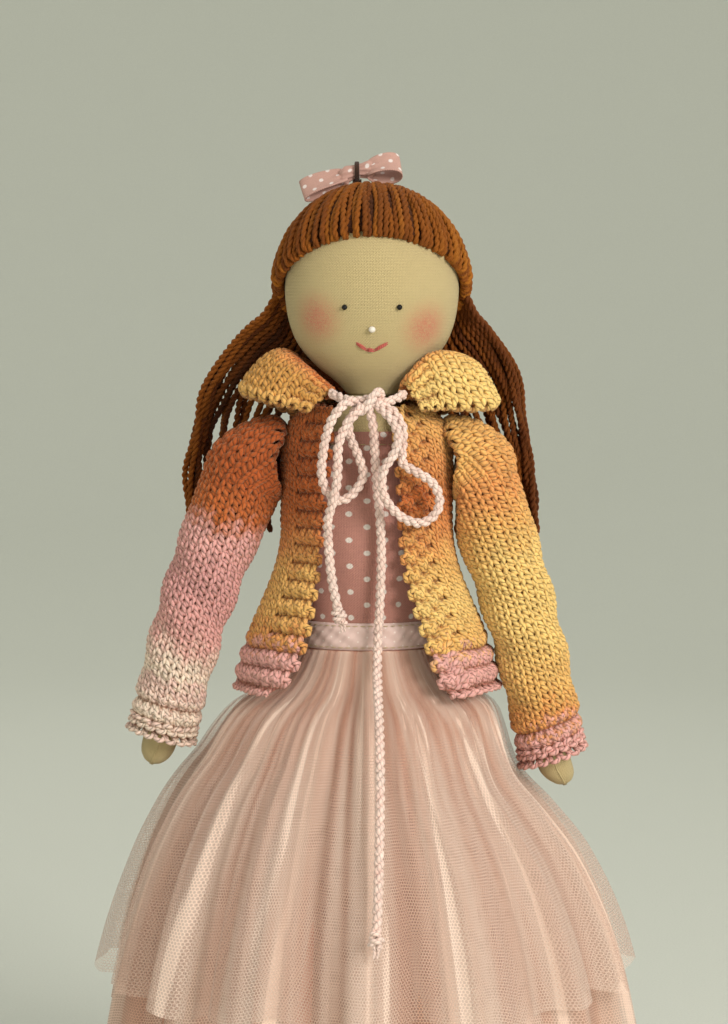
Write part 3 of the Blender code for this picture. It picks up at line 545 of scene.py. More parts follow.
class Graph:
    """Short calls that add shader nodes to one tree and link them."""

    def __init__(self, tree: Tree) -> None:
        self.tree = tree

    def node(self, kind: str, *values: object, **settings: object) -> bpy.types.Node:
        """Add a node with its settings and feed its first inputs."""
        node = self.tree.nodes.new(kind)
        for name, value in settings.items():
            setattr(node, name, value)
        for socket, value in zip(node.inputs, values):
            self.feed(socket, value)
        return node

    def feed(self, socket: Socket, value: object) -> None:
        """Link a value to a socket, or set the socket to a plain number, vector or colour."""
        if isinstance(value, Value):
            self.tree.links.new(value.socket, socket)
        elif isinstance(value, tuple) and socket.type == "RGBA":
            socket.default_value = (*value, 1.0)[:4]
        else:
            socket.default_value = value

    def out(self, node: bpy.types.Node, output: int | str = 0) -> Value:
        """One output of a node."""
        return Value(self, node.outputs[output])

    def math(self, operation: str, *values: object) -> Value:
        """A number worked out from others."""
        return self.out(self.node("ShaderNodeMath", *values, operation=operation))

    def vector(self, operation: str, *values: object) -> Value:
        """A vector worked out from others."""
        return self.out(self.node("ShaderNodeVectorMath", *values, operation=operation))

    def far(self, operation: str, *values: object) -> Value:
        """A length or a distance."""
        return self.out(self.node("ShaderNodeVectorMath", *values, operation=operation), "Value")

    def scaled(self, vector: object, level: object) -> Value:
        """A vector or colour made longer or brighter by a number."""
        node = self.node("ShaderNodeVectorMath", vector, operation="SCALE")
        self.feed(node.inputs["Scale"], level)
        return self.out(node)

    def parts(self, vector: Value) -> list[Value]:
        """The x, y and z of a vector."""
        node = self.node("ShaderNodeSeparateXYZ", vector)
        return [self.out(node, index) for index in range(3)]

    def joint(self, *values: object) -> Value:
        """A vector from its x, y and z."""
        return self.out(self.node("ShaderNodeCombineXYZ", *values))

    def span(self, value: object, low: object, high: object) -> Value:
        """A soft step from 0 at low to 1 at high."""
        return self.out(self.node("ShaderNodeMapRange", value, low, high, interpolation_type="SMOOTHSTEP"))

    def mix(self, share: object, first: object, second: object, blend: str = "MIX") -> Value:
        """A colour between two others."""
        node = self.node("ShaderNodeMix", share, data_type="RGBA", blend_type=blend)
        self.feed(node.inputs[6], first)
        self.feed(node.inputs[7], second)
        return self.out(node, 2)

    def darker(self, colour: object, tint: Colour) -> Value:
        """A colour multiplied by a tint."""
        return self.mix(1.0, colour, tint, "MULTIPLY")

    def noise(self, place: object, scale: float, detail: float = 2.0) -> Value:
        """Smooth noise round a half at a place."""
        node = self.node("ShaderNodeTexNoise", place)
        node.inputs["Scale"].default_value = scale
        node.inputs["Detail"].default_value = detail
        return self.out(node, "Fac")

    def ramp(self, value: object, stops: Stops) -> Value:
        """A colour read from a row of stops."""
        node = self.node("ShaderNodeValToRGB", value)
        elements = node.color_ramp.elements
        for element, (place, colour) in zip(elements, (stops[0], stops[-1])):
            element.position, element.color = place, (*colour, 1.0)
        for place, colour in stops[1:-1]:
            elements.new(place).color = (*colour, 1.0)
        return self.out(node)

    def attribute(self, name: str) -> Value:
        """A mesh attribute as a vector."""
        return self.out(self.node("ShaderNodeAttribute", attribute_name=name), "Vector")

    def cloth_place(self) -> Value:
        """The place on the flat cloth in metres."""
        return self.out(self.node("ShaderNodeUVMap", uv_map="cloth"))

    def object_place(self) -> Value:
        """The place in the object's own frame in metres."""
        return self.out(self.node("ShaderNodeTexCoord"), "Object")

    def group(self, tree: Tree, *values: object) -> list[Value]:
        """The outputs of a node group fed with values."""
        node = self.node("ShaderNodeGroup", node_tree=tree)
        for socket, value in zip(node.inputs, values):
            self.feed(socket, value)
        return [self.out(node, index) for index in range(len(node.outputs))]


def node_group(
    name: str, inputs: Sequence[str], outputs: Sequence[str], build: Callable[..., Sequence[Value]]
) -> Tree:
    """Make a shader node group once and reuse it.

    Args:
        name: The group's name.
        inputs: The name of each input; Place is a vector and the others are numbers.
        outputs: The name of each output, all of them numbers.
        build: Adds the nodes, given the graph and the inputs, and returns the outputs.

    Returns:
        The group.
    """
    known = bpy.data.node_groups.get(name)
    if known:
        return known
    tree = bpy.data.node_groups.new(name, "ShaderNodeTree")
    for label in inputs:
        kind = "NodeSocketVector" if label == "Place" else "NodeSocketFloat"
        tree.interface.new_socket(label, in_out="INPUT", socket_type=kind)
    for label in outputs:
        tree.interface.new_socket(label, in_out="OUTPUT", socket_type="NodeSocketFloat")
    graph = Graph(tree)
    entry = graph.node("NodeGroupInput")
    leave = graph.node("NodeGroupOutput")
    given = [graph.out(entry, index) for index in range(len(inputs))]
    for socket, value in zip(leave.inputs, build(graph, *given)):
        graph.feed(socket, value)
    return tree


def plain_weave() -> Tree:
    """A group that gives the height and the slubs of a plain weave."""

    def build(graph: Graph, place: Value, threads: Value) -> Sequence[Value]:
        scaled = [part * threads for part in graph.parts(place)[:2]]
        column, row = (part.floor() for part in scaled)
        odd = (column + row).odd()
        rounds = []
        for part in scaled:
            inside = part.centred()
            rounds.append(1.0 - inside * inside * 4.0)
        height = odd * rounds[0] + (1.0 - odd) * rounds[1]
        warp = graph.joint(column * 0.37, scaled[1] * 0.06, 0.0)
        weft = graph.joint(scaled[0] * 0.06, row * 0.37, 4.0)
        return height, graph.noise(warp, 2.3) + graph.noise(weft, 2.3) - 1.0

    return node_group("plain_weave", ("Place", "Threads"), ("Height", "Slub"), build)


def twisted_yarn() -> Tree:
    """A group that gives the groove and the fibres of a twisted yarn from its lay."""

    def build(graph: Graph, pitch: Value, plies: Value, fibres: Value) -> Sequence[Value]:
        cosine, sine, length = graph.parts(graph.attribute("lay"))
        phase = graph.math("ARCTAN2", sine, cosine) + length * TURN / pitch
        wave = abs((phase * plies * 0.5).sine())
        turned = graph.joint(graph.math("COSINE", phase), phase.sine(), length * 180.0)
        fibre = graph.noise(graph.vector("MULTIPLY", turned, graph.joint(fibres, fibres, 1.0)), 1.0, 3.0)
        return graph.math("POWER", wave, 0.6), fibre

    return node_group("twisted_yarn", ("Pitch", "Plies", "Fibres"), ("Round", "Fibre"), build)


def staggered_dots() -> Tree:
    """A group that gives a mask of round dots in staggered columns."""

    def build(graph: Graph, place: Value, column: Value, row: Value, radius: Value) -> Sequence[Value]:
        x, y, _ = graph.parts(place)
        columns = x / column
        rows = y / row + columns.floor().odd() * 0.5
        away = graph.joint(columns.centred() * column, rows.centred() * row, 0.0)
        wobble = graph.noise(place, 1400.0) * 0.0004
        return (graph.span(graph.far("LENGTH", away) + wobble, radius + 0.0003, radius - 0.0001),)

    return node_group("staggered_dots", ("Place", "Column", "Row", "Radius"), ("Dot",), build)


def net_threads() -> Tree:
    """A group that gives a mask of the threads of a hexagonal net."""

    def build(graph: Graph, place: Value, cell: Value, thread: Value) -> Sequence[Value]:
        x, y = (part / cell for part in graph.parts(place)[:2])
        tall = math.sqrt(3.0)
        edges = []
        for shift in (0.0, 0.5):
            wide = abs((x + shift).centred())
            high = abs((y / tall + shift).centred()) * tall
            edges.append(graph.math("MAXIMUM", wide, wide * 0.5 + high * (0.5 * tall)))
        start = 0.5 - thread
        return (graph.span(graph.math("MINIMUM", *edges), start, start + thread * 0.6),)

    return node_group("net_threads", ("Place", "Cell", "Thread"), ("Thread",), build)


@dataclass(frozen=True)
class Finish:
    """A surface finish: its plain numbers, and the nodes that paint it.

    Args:
        name: The material's name.
        colour: The main colour.
        roughness: How rough the surface is.
        sheen: The fuzz of cloth or yarn.
        depth: How deep the relief is, in metres.
    """

    name: str
    colour: Colour
    roughness: float = 0.9
    sheen: float = 0.0
    sheen_tint: Colour = (1.0, 1.0, 1.0)
    specular: float = 0.3
    coat: float = 0.0
    depth: float = 0.0001

    def material(self) -> bpy.types.Material:
        """The material, made the first time it is asked for."""
        known = bpy.data.materials.get(self.name)
        if known:
            return known
        material = bpy.data.materials.new(self.name)
        material.use_nodes = True
        shader = material.node_tree.nodes["Principled BSDF"]
        for name, value in (
            ("Roughness", self.roughness), ("Sheen Weight", self.sheen), ("Sheen Roughness", 0.5),
            ("Sheen Tint", (*self.sheen_tint, 1.0)), ("Specular IOR Level", self.specular),
            ("Coat Weight", self.coat), ("Coat Roughness", 0.12),
        ):
            shader.inputs[name].default_value = value
        graph = Graph(material.node_tree)
        colour, height = self.paint(graph, shader)
        graph.feed(shader.inputs["Base Color"], colour)
        bump = graph.node("ShaderNodeBump")
        bump.inputs["Strength"].default_value = 1.0
        bump.inputs["Distance"].default_value = self.depth
        graph.feed(bump.inputs["Height"], height)
        graph.feed(shader.inputs["Normal"], graph.out(bump))
        return material

    def paint(self, graph: Graph, shader: bpy.types.Node) -> tuple[Value, Value]:
        """Add the nodes of the finish and give its colour and height."""
        tone = graph.noise(graph.object_place(), 900.0)
        return graph.mix(tone * 0.5, self.colour, shade(self.colour, 0.75)), tone


def shade(colour: Colour, share: float) -> Colour:
    """A colour made darker or lighter by a share."""
    return tuple(min(1.0, part * share) for part in colour)


@dataclass(frozen=True)
class WovenCloth(Finish):
    """A plain woven cloth, laid out by its place on the flat cloth."""

    threads: float = 2600.0
    # How dark the painted shade between the threads is.
    dark: float = 0.72
    slub: float = 0.35

    def base(self, graph: Graph) -> Value:
        """The cloth's colour before the painted shade between the threads darkens it."""
        drift = graph.noise(graph.object_place(), 45.0)
        return graph.mix(drift * 0.5, self.colour, shade(self.colour, 0.88))

    def paint(self, graph: Graph, shader: bpy.types.Node) -> tuple[Value, Value]:
        """Paint shade on the colour between the threads, with the slubs' uneven tone mixed in, and raise the
        threads.
        """
        height, slub = graph.group(plain_weave(), graph.cloth_place(), self.threads)
        base = self.base(graph)
        lit = slub * self.slub + height
        return graph.mix(graph.span(lit, -0.1, 0.75), graph.darker(base, (self.dark,) * 3), base), lit


@dataclass(frozen=True)
class SkinCloth(WovenCloth):
    """The unbleached cloth of face and limbs, with soft blush on the cheeks."""

    blush: Colour = (0.6, 0.2, 0.15)
    cheeks: tuple[Spot, ...] = ()
    cheek_radius: float = 0.010

    def base(self, graph: Graph) -> Value:
        """The cloth's colour with pigment rubbed on the cheeks."""
        place = graph.object_place()
        colour = super().base(graph)
        speckle = graph.noise(place, 1500.0, 3.0) * 0.9
        grains = graph.span(graph.noise(place, 2600.0, 1.0), 0.40, 0.62)
        pigment = speckle + grains * 0.42
        for cheek in self.cheeks:
            patch = graph.span(graph.far("DISTANCE", place, cheek), self.cheek_radius, 0.0)
            colour = graph.mix(graph.math("MINIMUM", patch * pigment, 0.92), colour, self.blush)
        return colour


@dataclass(frozen=True)
class DottedCloth(WovenCloth):
    """Woven cotton printed with white dots in staggered columns."""

    dot: Colour = (0.85, 0.8, 0.78)
    column: float = 0.0052
    row: float = 0.0096
    radius: float = 0.0011

    def base(self, graph: Graph) -> Value:
        """The cloth's colour with its dots."""
        mask = graph.group(staggered_dots(), graph.cloth_place(), self.column, self.row, self.radius)[0]
        return graph.mix(mask, super().base(graph), self.dot)


@dataclass(frozen=True)
class SatinBand(DottedCloth):
    """A pale satin ribbon with fine dots, whose threads float along it."""

    def paint(self, graph: Graph, shader: bpy.types.Node) -> tuple[Value, Value]:
        """Draw fine ribs across the ribbon, and paint shade into its soft creases."""
        rib = (graph.parts(graph.cloth_place())[1] * (TURN * 2200.0)).sine()
        # Noise for soft creases: it raises them and paints shade into them.
        crease = graph.noise(graph.object_place(), 160.0)
        return graph.mix(crease * 0.5, self.base(graph), shade(self.colour, 0.7)), rib * 0.3 + crease * 2.0


@dataclass(frozen=True)
class NetCloth(Finish):
    """Soft net: its threads are solid and its holes let most of the light through."""

    cell: float = 0.0013
    thread: float = 0.16
    haze: float = 0.35
    # The painted shade in the valleys of the folds.
    deep: Colour = (0.6, 0.3, 0.2)

    def paint(self, graph: Graph, shader: bpy.types.Node) -> tuple[Value, Value]:
        """Make the holes of the net, paint shade into the valleys of its folds, and paint a highlight on their
        crests.
        """
        place = graph.cloth_place()
        threads = graph.group(net_threads(), place, self.cell, self.thread)[0]
        crest, drop, _ = graph.parts(graph.attribute("gather"))
        thread = threads * graph.span(drop, 0.015, 0.060)
        wisp = graph.noise(graph.vector("MULTIPLY", place, (260.0, 14.0, 1.0)), 1.0)
        ridge = crest + (wisp - 0.5) * 0.7
        # The crests of the folds, where the net lies doubled: they are denser there, and they get a painted
        # highlight.
        crease = graph.span(ridge, 0.80, 0.98)
        alpha = self.haze + crease * 0.34 + thread * 0.42
        graph.feed(shader.inputs["Alpha"], graph.math("MINIMUM", alpha, 1.0))
        # Painted shade: the valleys of the folds take the deep colour.
        colour = graph.mix(graph.span(ridge, 0.10, 0.80), self.deep, self.colour)
        # Painted highlight on the crests of the folds.
        pale = graph.mix(crease, colour, shade(self.colour, 1.10))
        return graph.mix(thread * 0.5, pale, self.colour), thread


@dataclass(frozen=True)
class SpunYarn(Finish):
    """Twisted yarn whose colour follows the strand's place in the piece.

    Args:
        stops: The colours along the piece, by the first part of the strand's place.
        pitch: The length of one turn of the twist.
        plies: How many plies the twist shows.
        groove: How dark the painted shade in the grooves between the plies is.
        hollow: How dark the painted shade is where the strand dips into the fabric.
    """

    stops: Stops = ()
    hollow: Colour = (0.42, 0.26, 0.20)
    pitch: float = 0.004
    plies: float = 3.0
    fibres: float = 5.0
    groove: float = 0.45
    drift: float = 0.06
    mottle: float = 0.25

    def paint(self, graph: Graph, shader: bpy.types.Node) -> tuple[Value, Value]:
        """Read the strand's colour, and paint shade into its grooves and where it dips into the fabric."""
        rounds, fibre = graph.group(twisted_yarn(), self.pitch, self.plies, self.fibres)
        along, _, raised = graph.parts(graph.attribute("place"))
        wander = graph.noise(graph.object_place(), 170.0, 3.0) - 0.5
        colour = graph.ramp(along + wander * self.drift, self.stops) if self.stops else self.colour
        patch = graph.noise(graph.object_place(), 260.0) - 0.5
        tinted = graph.scaled(colour, (1.0 + patch * (self.mottle * 2)) * (0.72 + fibre * 0.5))
        # Painted shade where the strand dips into the fabric, by how far out it lies.
        tinted = graph.mix(graph.span(raised, -0.10, 0.62), graph.darker(tinted, self.hollow), tinted)
        # Painted shade in the grooves between the plies.
        dark = graph.darker(tinted, (self.groove,) * 3)
        return graph.mix(graph.span(rounds, 0.0, 0.75), dark, tinted), rounds + fibre * 0.35


HEAD = Profile((
    (0.0, 0.28, 0.36), (0.06, 0.41, 0.46), (0.14, 0.635, 0.62), (0.245, 0.84, 0.79),
    (0.35, 0.945, 0.91), (0.47, 0.995, 0.985), (0.57, 1.0, 1.0), (0.70, 0.955, 0.975),
    (0.81, 0.84, 0.88), (0.90, 0.64, 0.69), (0.96, 0.40, 0.44), (1.0, 0.10, 0.12),
))
TORSO = Profile((
    (0.0, 0.80, 0.74), (0.03, 0.97, 0.93), (0.10, 1.03, 1.0), (0.17, 0.96, 0.94), (0.222, 0.875, 0.884),
    (0.268, 0.87, 0.88), (0.312, 0.872, 0.884), (0.44, 0.92, 0.95), (0.60, 0.995, 1.0), (0.812, 0.98, 0.93),
    (0.893, 0.87, 0.77), (0.93, 0.68, 0.66), (0.965, 0.40, 0.54), (1.0, 0.315, 0.50),
))


@dataclass(frozen=True)
class Lathe:
    """A stuffed form whose level cross-sections follow a profile of half widths and half depths."""

    profile: Profile
    bottom: float
    height: float
    half_width: float
    half_depth: float
    x: float = 0.0

    def radii(self, height: Points, outset: float = 0.0) -> tuple[Points, Points]:
        """The half width and half depth at a height."""
        values = self.profile.at((np.asarray(height, float) - self.bottom) / self.height)
        return self.half_width * values[..., 0] + outset, self.half_depth * values[..., 1] + outset

    def at(self, turn: Points, height: Points, outset: float = 0.0) -> Points:
        """Points at turns from the front towards the right and at heights."""
        width, depth = self.radii(height, outset)
        return stack(self.x + width * np.sin(turn), -depth * np.cos(turn), height)

    def front(self, x: float, height: float, outset: float = 0.0) -> Points:
        """The point in front at a side place and a height."""
        width, depth = self.radii(height, outset)
        return stack(self.x + x, -depth * math.sqrt(max(0.0, 1 - (x / float(width)) ** 2)), height)


def stuffed(name: str, lathe: Lathe, columns: int, rows: int, girth: float) -> Piece:
    """A stuffed form with its cloth laid out in metres.

    Args:
        name: The piece's name.
        lathe: The form.
        columns: Faces round it.
        rows: Faces up it.
        girth: The radius at which its cloth is laid out.

    Returns:
        The closed mesh object.
    """

    def surface(u: Points, v: Points) -> Points:
        return lathe.at((u - 0.5) * TURN, lathe.bottom + lathe.height * v)

    def cloth(u: Points, v: Points) -> Points:
        return stack((u - 0.5) * TURN * girth, v * lathe.height, 0.0)

    return welded(sheet_of(name, surface, columns, rows, cloth), fill=True)


SKULL = Lathe(HEAD, 0.3110, 0.0725, 0.0320, 0.0250, x=0.0018)
TRUNK = Lathe(TORSO, 0.1901, 0.1206, 0.0275, 0.0172)

EYE_BEAD = Finish("black_bead", srgb(10, 8, 8), roughness=0.42, specular=0.3)
PEARL = Finish("pearl_bead", srgb(232, 222, 208), roughness=0.22, specular=0.6, coat=0.8, depth=0.00003)
MOUTH_THREAD = SpunYarn(
    "coral_thread", srgb(196, 92, 78), sheen=0.3, pitch=0.0016, plies=2, fibres=3, groove=0.5, depth=0.0002,
)
FACE_CLOTH = SkinCloth(
    "unbleached_cloth", srgb(208, 186, 134), sheen=0.15, threads=1900.0, depth=0.00022,
    blush=srgb(208, 104, 84), cheeks=((-0.0195, -0.0195, 0.3385), (0.0225, -0.0185, 0.3350)), cheek_radius=0.0135,
)
SEAM_THREAD = SpunYarn("seam_thread", srgb(206, 186, 138), pitch=0.0012, plies=2, groove=0.6, depth=0.0001)
# Its dark sets the painted shade between the threads.
DOTTED_ROSE = DottedCloth(
    "dotted_rose_cotton", srgb(192, 136, 122), threads=2100.0, dark=0.62, slub=0.9, depth=0.00016,
    dot=srgb(236, 224, 214), column=0.0052, row=0.0096, radius=0.0011,
)
PALE_SATIN = SatinBand(
    "pale_satin", srgb(226, 196, 186), roughness=0.45, sheen=0.25, dot=srgb(246, 232, 222),
    column=0.0034, row=0.0034, radius=0.0004, depth=0.00006,
)


@dataclass(frozen=True)
class Face:
    """The stuffed head with its bead eyes, pearl nose and stitched smile."""

    eye_radius: float = 0.00100
    eye_half_spacing: float = 0.0099
    eye_share: float = 0.443
    nose_radius: float = 0.0012
    nose_share: float = 0.333
    mouth_share: float = 0.265
    mouth_half_width: float = 0.0058
    mouth_dip: float = 0.0028
    thread: float = 0.00042

    def height(self, share: float) -> float:
        """The height at a share of the head."""
        return SKULL.bottom + share * SKULL.height

    def head(self) -> None:
        """The head's own form, its cloth laid out in metres."""
        head = stuffed("stuffed_head", SKULL, 96, 72, girth=0.0300)
        settle(head, Body.DOLL, "skin_cloth", ("head",), FACE_CLOTH)

    def eye(self, side: Side) -> None:
        """One bead eye, sunk a little into the cloth."""
        height = self.height(self.eye_share)
        centre = SKULL.front(side.value * self.eye_half_spacing, height, self.eye_radius * 0.55)
        eye = ball("bead_eye_" + side.word, centre, (self.eye_radius,) * 3, 32)
        settle(eye, Body.DOLL, "eye_bead", ("eye_" + side.word,), EYE_BEAD)

    def nose(self) -> None:
        """The pearl bead of the nose; its drilled hole at the sides is not made."""
        centre = SKULL.front(0.0, self.height(self.nose_share), self.nose_radius * 0.75)
        nose = ball("pearl_nose", centre, (self.nose_radius * 1.08, self.nose_radius, self.nose_radius), 32)
        settle(nose, Body.DOLL, "pearl", ("nose_bead",), PEARL)

    def mouth(self) -> None:
        """The smile: three stitches of a stranded thread that meet at their ends."""
        stops = ((-1.0, -0.34), (-0.36, 0.14), (0.12, 1.0))
        strands = []
        share = np.linspace(0, 1, 13)
        puff = np.sin(math.pi * share)
        out = self.thread * (1.5 * puff - 0.6)
        for index, (start, stop) in enumerate(stops):
            x = self.mouth_half_width * (start + (stop - start) * share)
            chord = 1 - start**2 + (start**2 - stop**2) * share
            place = np.stack([np.full(13, 0.3 * index), share], axis=-1)
            for lane in (-0.75, 0.75):
                height = self.height(self.mouth_share) - self.mouth_dip * chord + lane * self.thread
                path = np.array([SKULL.front(*parts) for parts in zip(x, height, out)])
                strands.append(Strand(path, place, 0.55 + 0.45 * puff))
        mouth = tubes("smile_stitches", strands, self.thread, 2)
        settle(mouth, Body.DOLL, "mouth_thread", ("mouth_stitches",), MOUTH_THREAD)

    def build(self) -> None:
        """Make the head and everything sewn on its face."""
        self.head()
        for side in Side:
            self.eye(side)
        self.nose()
        self.mouth()


@dataclass(frozen=True)
class Trunk:
    """The stuffed torso, the dotted bodice sewn over it and the satin waistband."""

    bodice_low: float = 0.2106
    bodice_high: float = 0.2978
    bodice_girth: float = 0.0222
    dots_right: float = 0.0026
    dots_up: float = 0.0011
    stitches_below: float = 0.0046
    waist: float = 0.22242
    band_half: float = 0.0050

    def torso(self) -> None:
        """The torso with the neck."""
        torso = stuffed("stuffed_torso", TRUNK, 72, 96, girth=0.0200)
        settle(torso, Body.DOLL, "skin_cloth", ("torso",), FACE_CLOTH)

    def bodice(self) -> None:
        """The bodice, turned in at the neck edge and stitched a little below it."""
        outset = GAP + 0.0007

        def surface(u: Points, v: Points) -> Points:
            height = self.bodice_low + (self.bodice_high - self.bodice_low) * v
            turn = (u - 0.5) * TURN
            hem = smooth_step(v, 0.972, 0.984) * 0.0002 + smooth_step(v, 0.925, 0.932) * 0.00015
            pucker = 0.00012 * np.sin(64 * turn) * np.exp(-(((v - 0.925) / 0.02) ** 2))
            ease = 0.0004 * np.sin(3 * turn + 5 * v) * np.sin(math.pi * v)
            width, depth = TRUNK.radii(height, outset)
            out = hem + pucker + np.abs(ease)
            return oval(width + out, depth + out, turn, height)

        def cloth(u: Points, v: Points) -> Points:
            across = (u - 0.5) * TURN * self.bodice_girth + self.dots_right
            return stack(across, (self.bodice_high - self.bodice_low) * (v - 1) + self.dots_up, 0.0)

        bodice = welded(sheet_of("dotted_bodice", surface, 144, 120, cloth), fill=False)
        settle(bodice, Body.DOLL, "dotted_cotton", ("bodice",), DOTTED_ROSE)

    def stitch_row(
        self, height: float, around: tuple[Points, Points], count: int, places: Points, lift: float
    ) -> list[Strand]:
        """One row of short stitches round the trunk.

        Args:
            height: The height of the row.
            around: The half width and half depth of the cloth there.
            count: How many stitches go round.
            places: The points of a stitch, as shares of the way to the next one.
            lift: How far the middle of a stitch stands out.

        Returns:
            The stitches.
        """
        width, depth = around
        rise = np.sin(math.pi * np.linspace(0, 1, len(places)))
        row = []
        for index in range(count):
            turns = (index + places) / count * TURN
            path = oval(width + lift * rise, depth + lift * rise, turns, height)
            row.append(Strand(path, np.zeros((len(places), 2)), 0.6 + 0.4 * rise))
        return row

    def neck_stitches(self) -> None:
        """The running stitches below the bodice's neck edge."""
        height = self.bodice_high - self.stitches_below
        around = TRUNK.radii(height, GAP + 0.0009)
        strands = self.stitch_row(height, around, 46, np.linspace(0.14, 0.86, 7), 0.00022)
        stitches = tubes("neck_stitches", strands, 0.00016)
        settle(stitches, Body.DOLL, "dotted_cotton", (), SEAM_THREAD)

    def waistband(self) -> None:
        """The satin ribbon round the waist, slightly creased, sewn along both edges."""
        width, depth = (float(part) + 0.0014 for part in TRUNK.radii(self.waist))

        def surface(u: Points, v: Points) -> Points:
            turn = (u - 0.5) * TURN
            across = 2 * v - 1
            crown = 0.0008 * (1 - across**4)
            crease = 0.00022 * np.sin(17 * turn + 5 * across) + 0.00016 * np.sin(41 * turn - 7 * across)
            out = crown + crease * (1 - across**4)
            height = self.waist + self.band_half * across
            return oval(width + out, depth + out, turn, height)

        band = welded(sheet_of("satin_waistband", surface, 180, 16), fill=False)
        settle(band, Body.DOLL, "satin_band", ("waistband",), PALE_SATIN)

    def band_stitches(self) -> None:
        """The stitches along both edges of the waistband."""
        around = TRUNK.radii(self.waist, 0.0020)
        strands = []
        for edge in (-0.80, 0.80):
            height = self.waist + self.band_half * edge
            strands += self.stitch_row(height, around, 58, np.linspace(0.12, 0.80, 6), 0.0002)
        stitches = tubes("waistband_stitches", strands, 0.00015)
        settle(stitches, Body.DOLL, "satin_band", (), SEAM_THREAD)

    def build(self) -> None:
        """Make the torso and what is sewn on it."""
        self.torso()
        self.bodice()
        self.neck_stitches()
        self.waistband()
        self.band_stitches()


@dataclass(frozen=True)
class ArmLine:
    """The slightly bowed line of an arm from its shoulder.

    Args:
        side: Which arm.
        splay: How far the arm hangs out from the body, in radians.
        reach: The length of its sleeve.
        shoulder_x: How far out its shoulder lies.
        shoulder_z: The height of its shoulder.
        bow: How far its middle bows outwards.
    """

    side: Side
    splay: float
    reach: float
    shoulder_x: float
    shoulder_z: float = 0.28803
    bow: float = 0.0034

    @property
    def shoulder(self) -> Points:
        """The middle of the shoulder."""
        return np.array((self.side.value * self.shoulder_x, 0.0, self.shoulder_z))

    @property
    def heading(self) -> Points:
        """The direction down the arm."""
        return np.array((self.side.value * math.sin(self.splay), 0.0, -math.cos(self.splay)))

    @property
    def across(self) -> Points:
        """The direction across the arm, towards the viewer's right."""
        return np.array((math.cos(self.splay), 0.0, self.side.value * math.sin(self.splay)))

    def middle(self, distance: Points) -> Points:
        """Points on the arm's line at distances from the shoulder."""
        distance = np.asarray(distance, float)
        out = self.side.value * self.bow * np.sin(math.pi * np.clip(distance / self.reach, 0, 1))
        return self.shoulder + distance[..., None] * self.heading + stack(out, 0.0, 0.0)


ARM_LINES = {
    Side.LEFT: ArmLine(Side.LEFT, math.radians(18.4), 0.1120, 0.0421),
    Side.RIGHT: ArmLine(Side.RIGHT, math.radians(16.0), 0.1190, 0.0373),
}


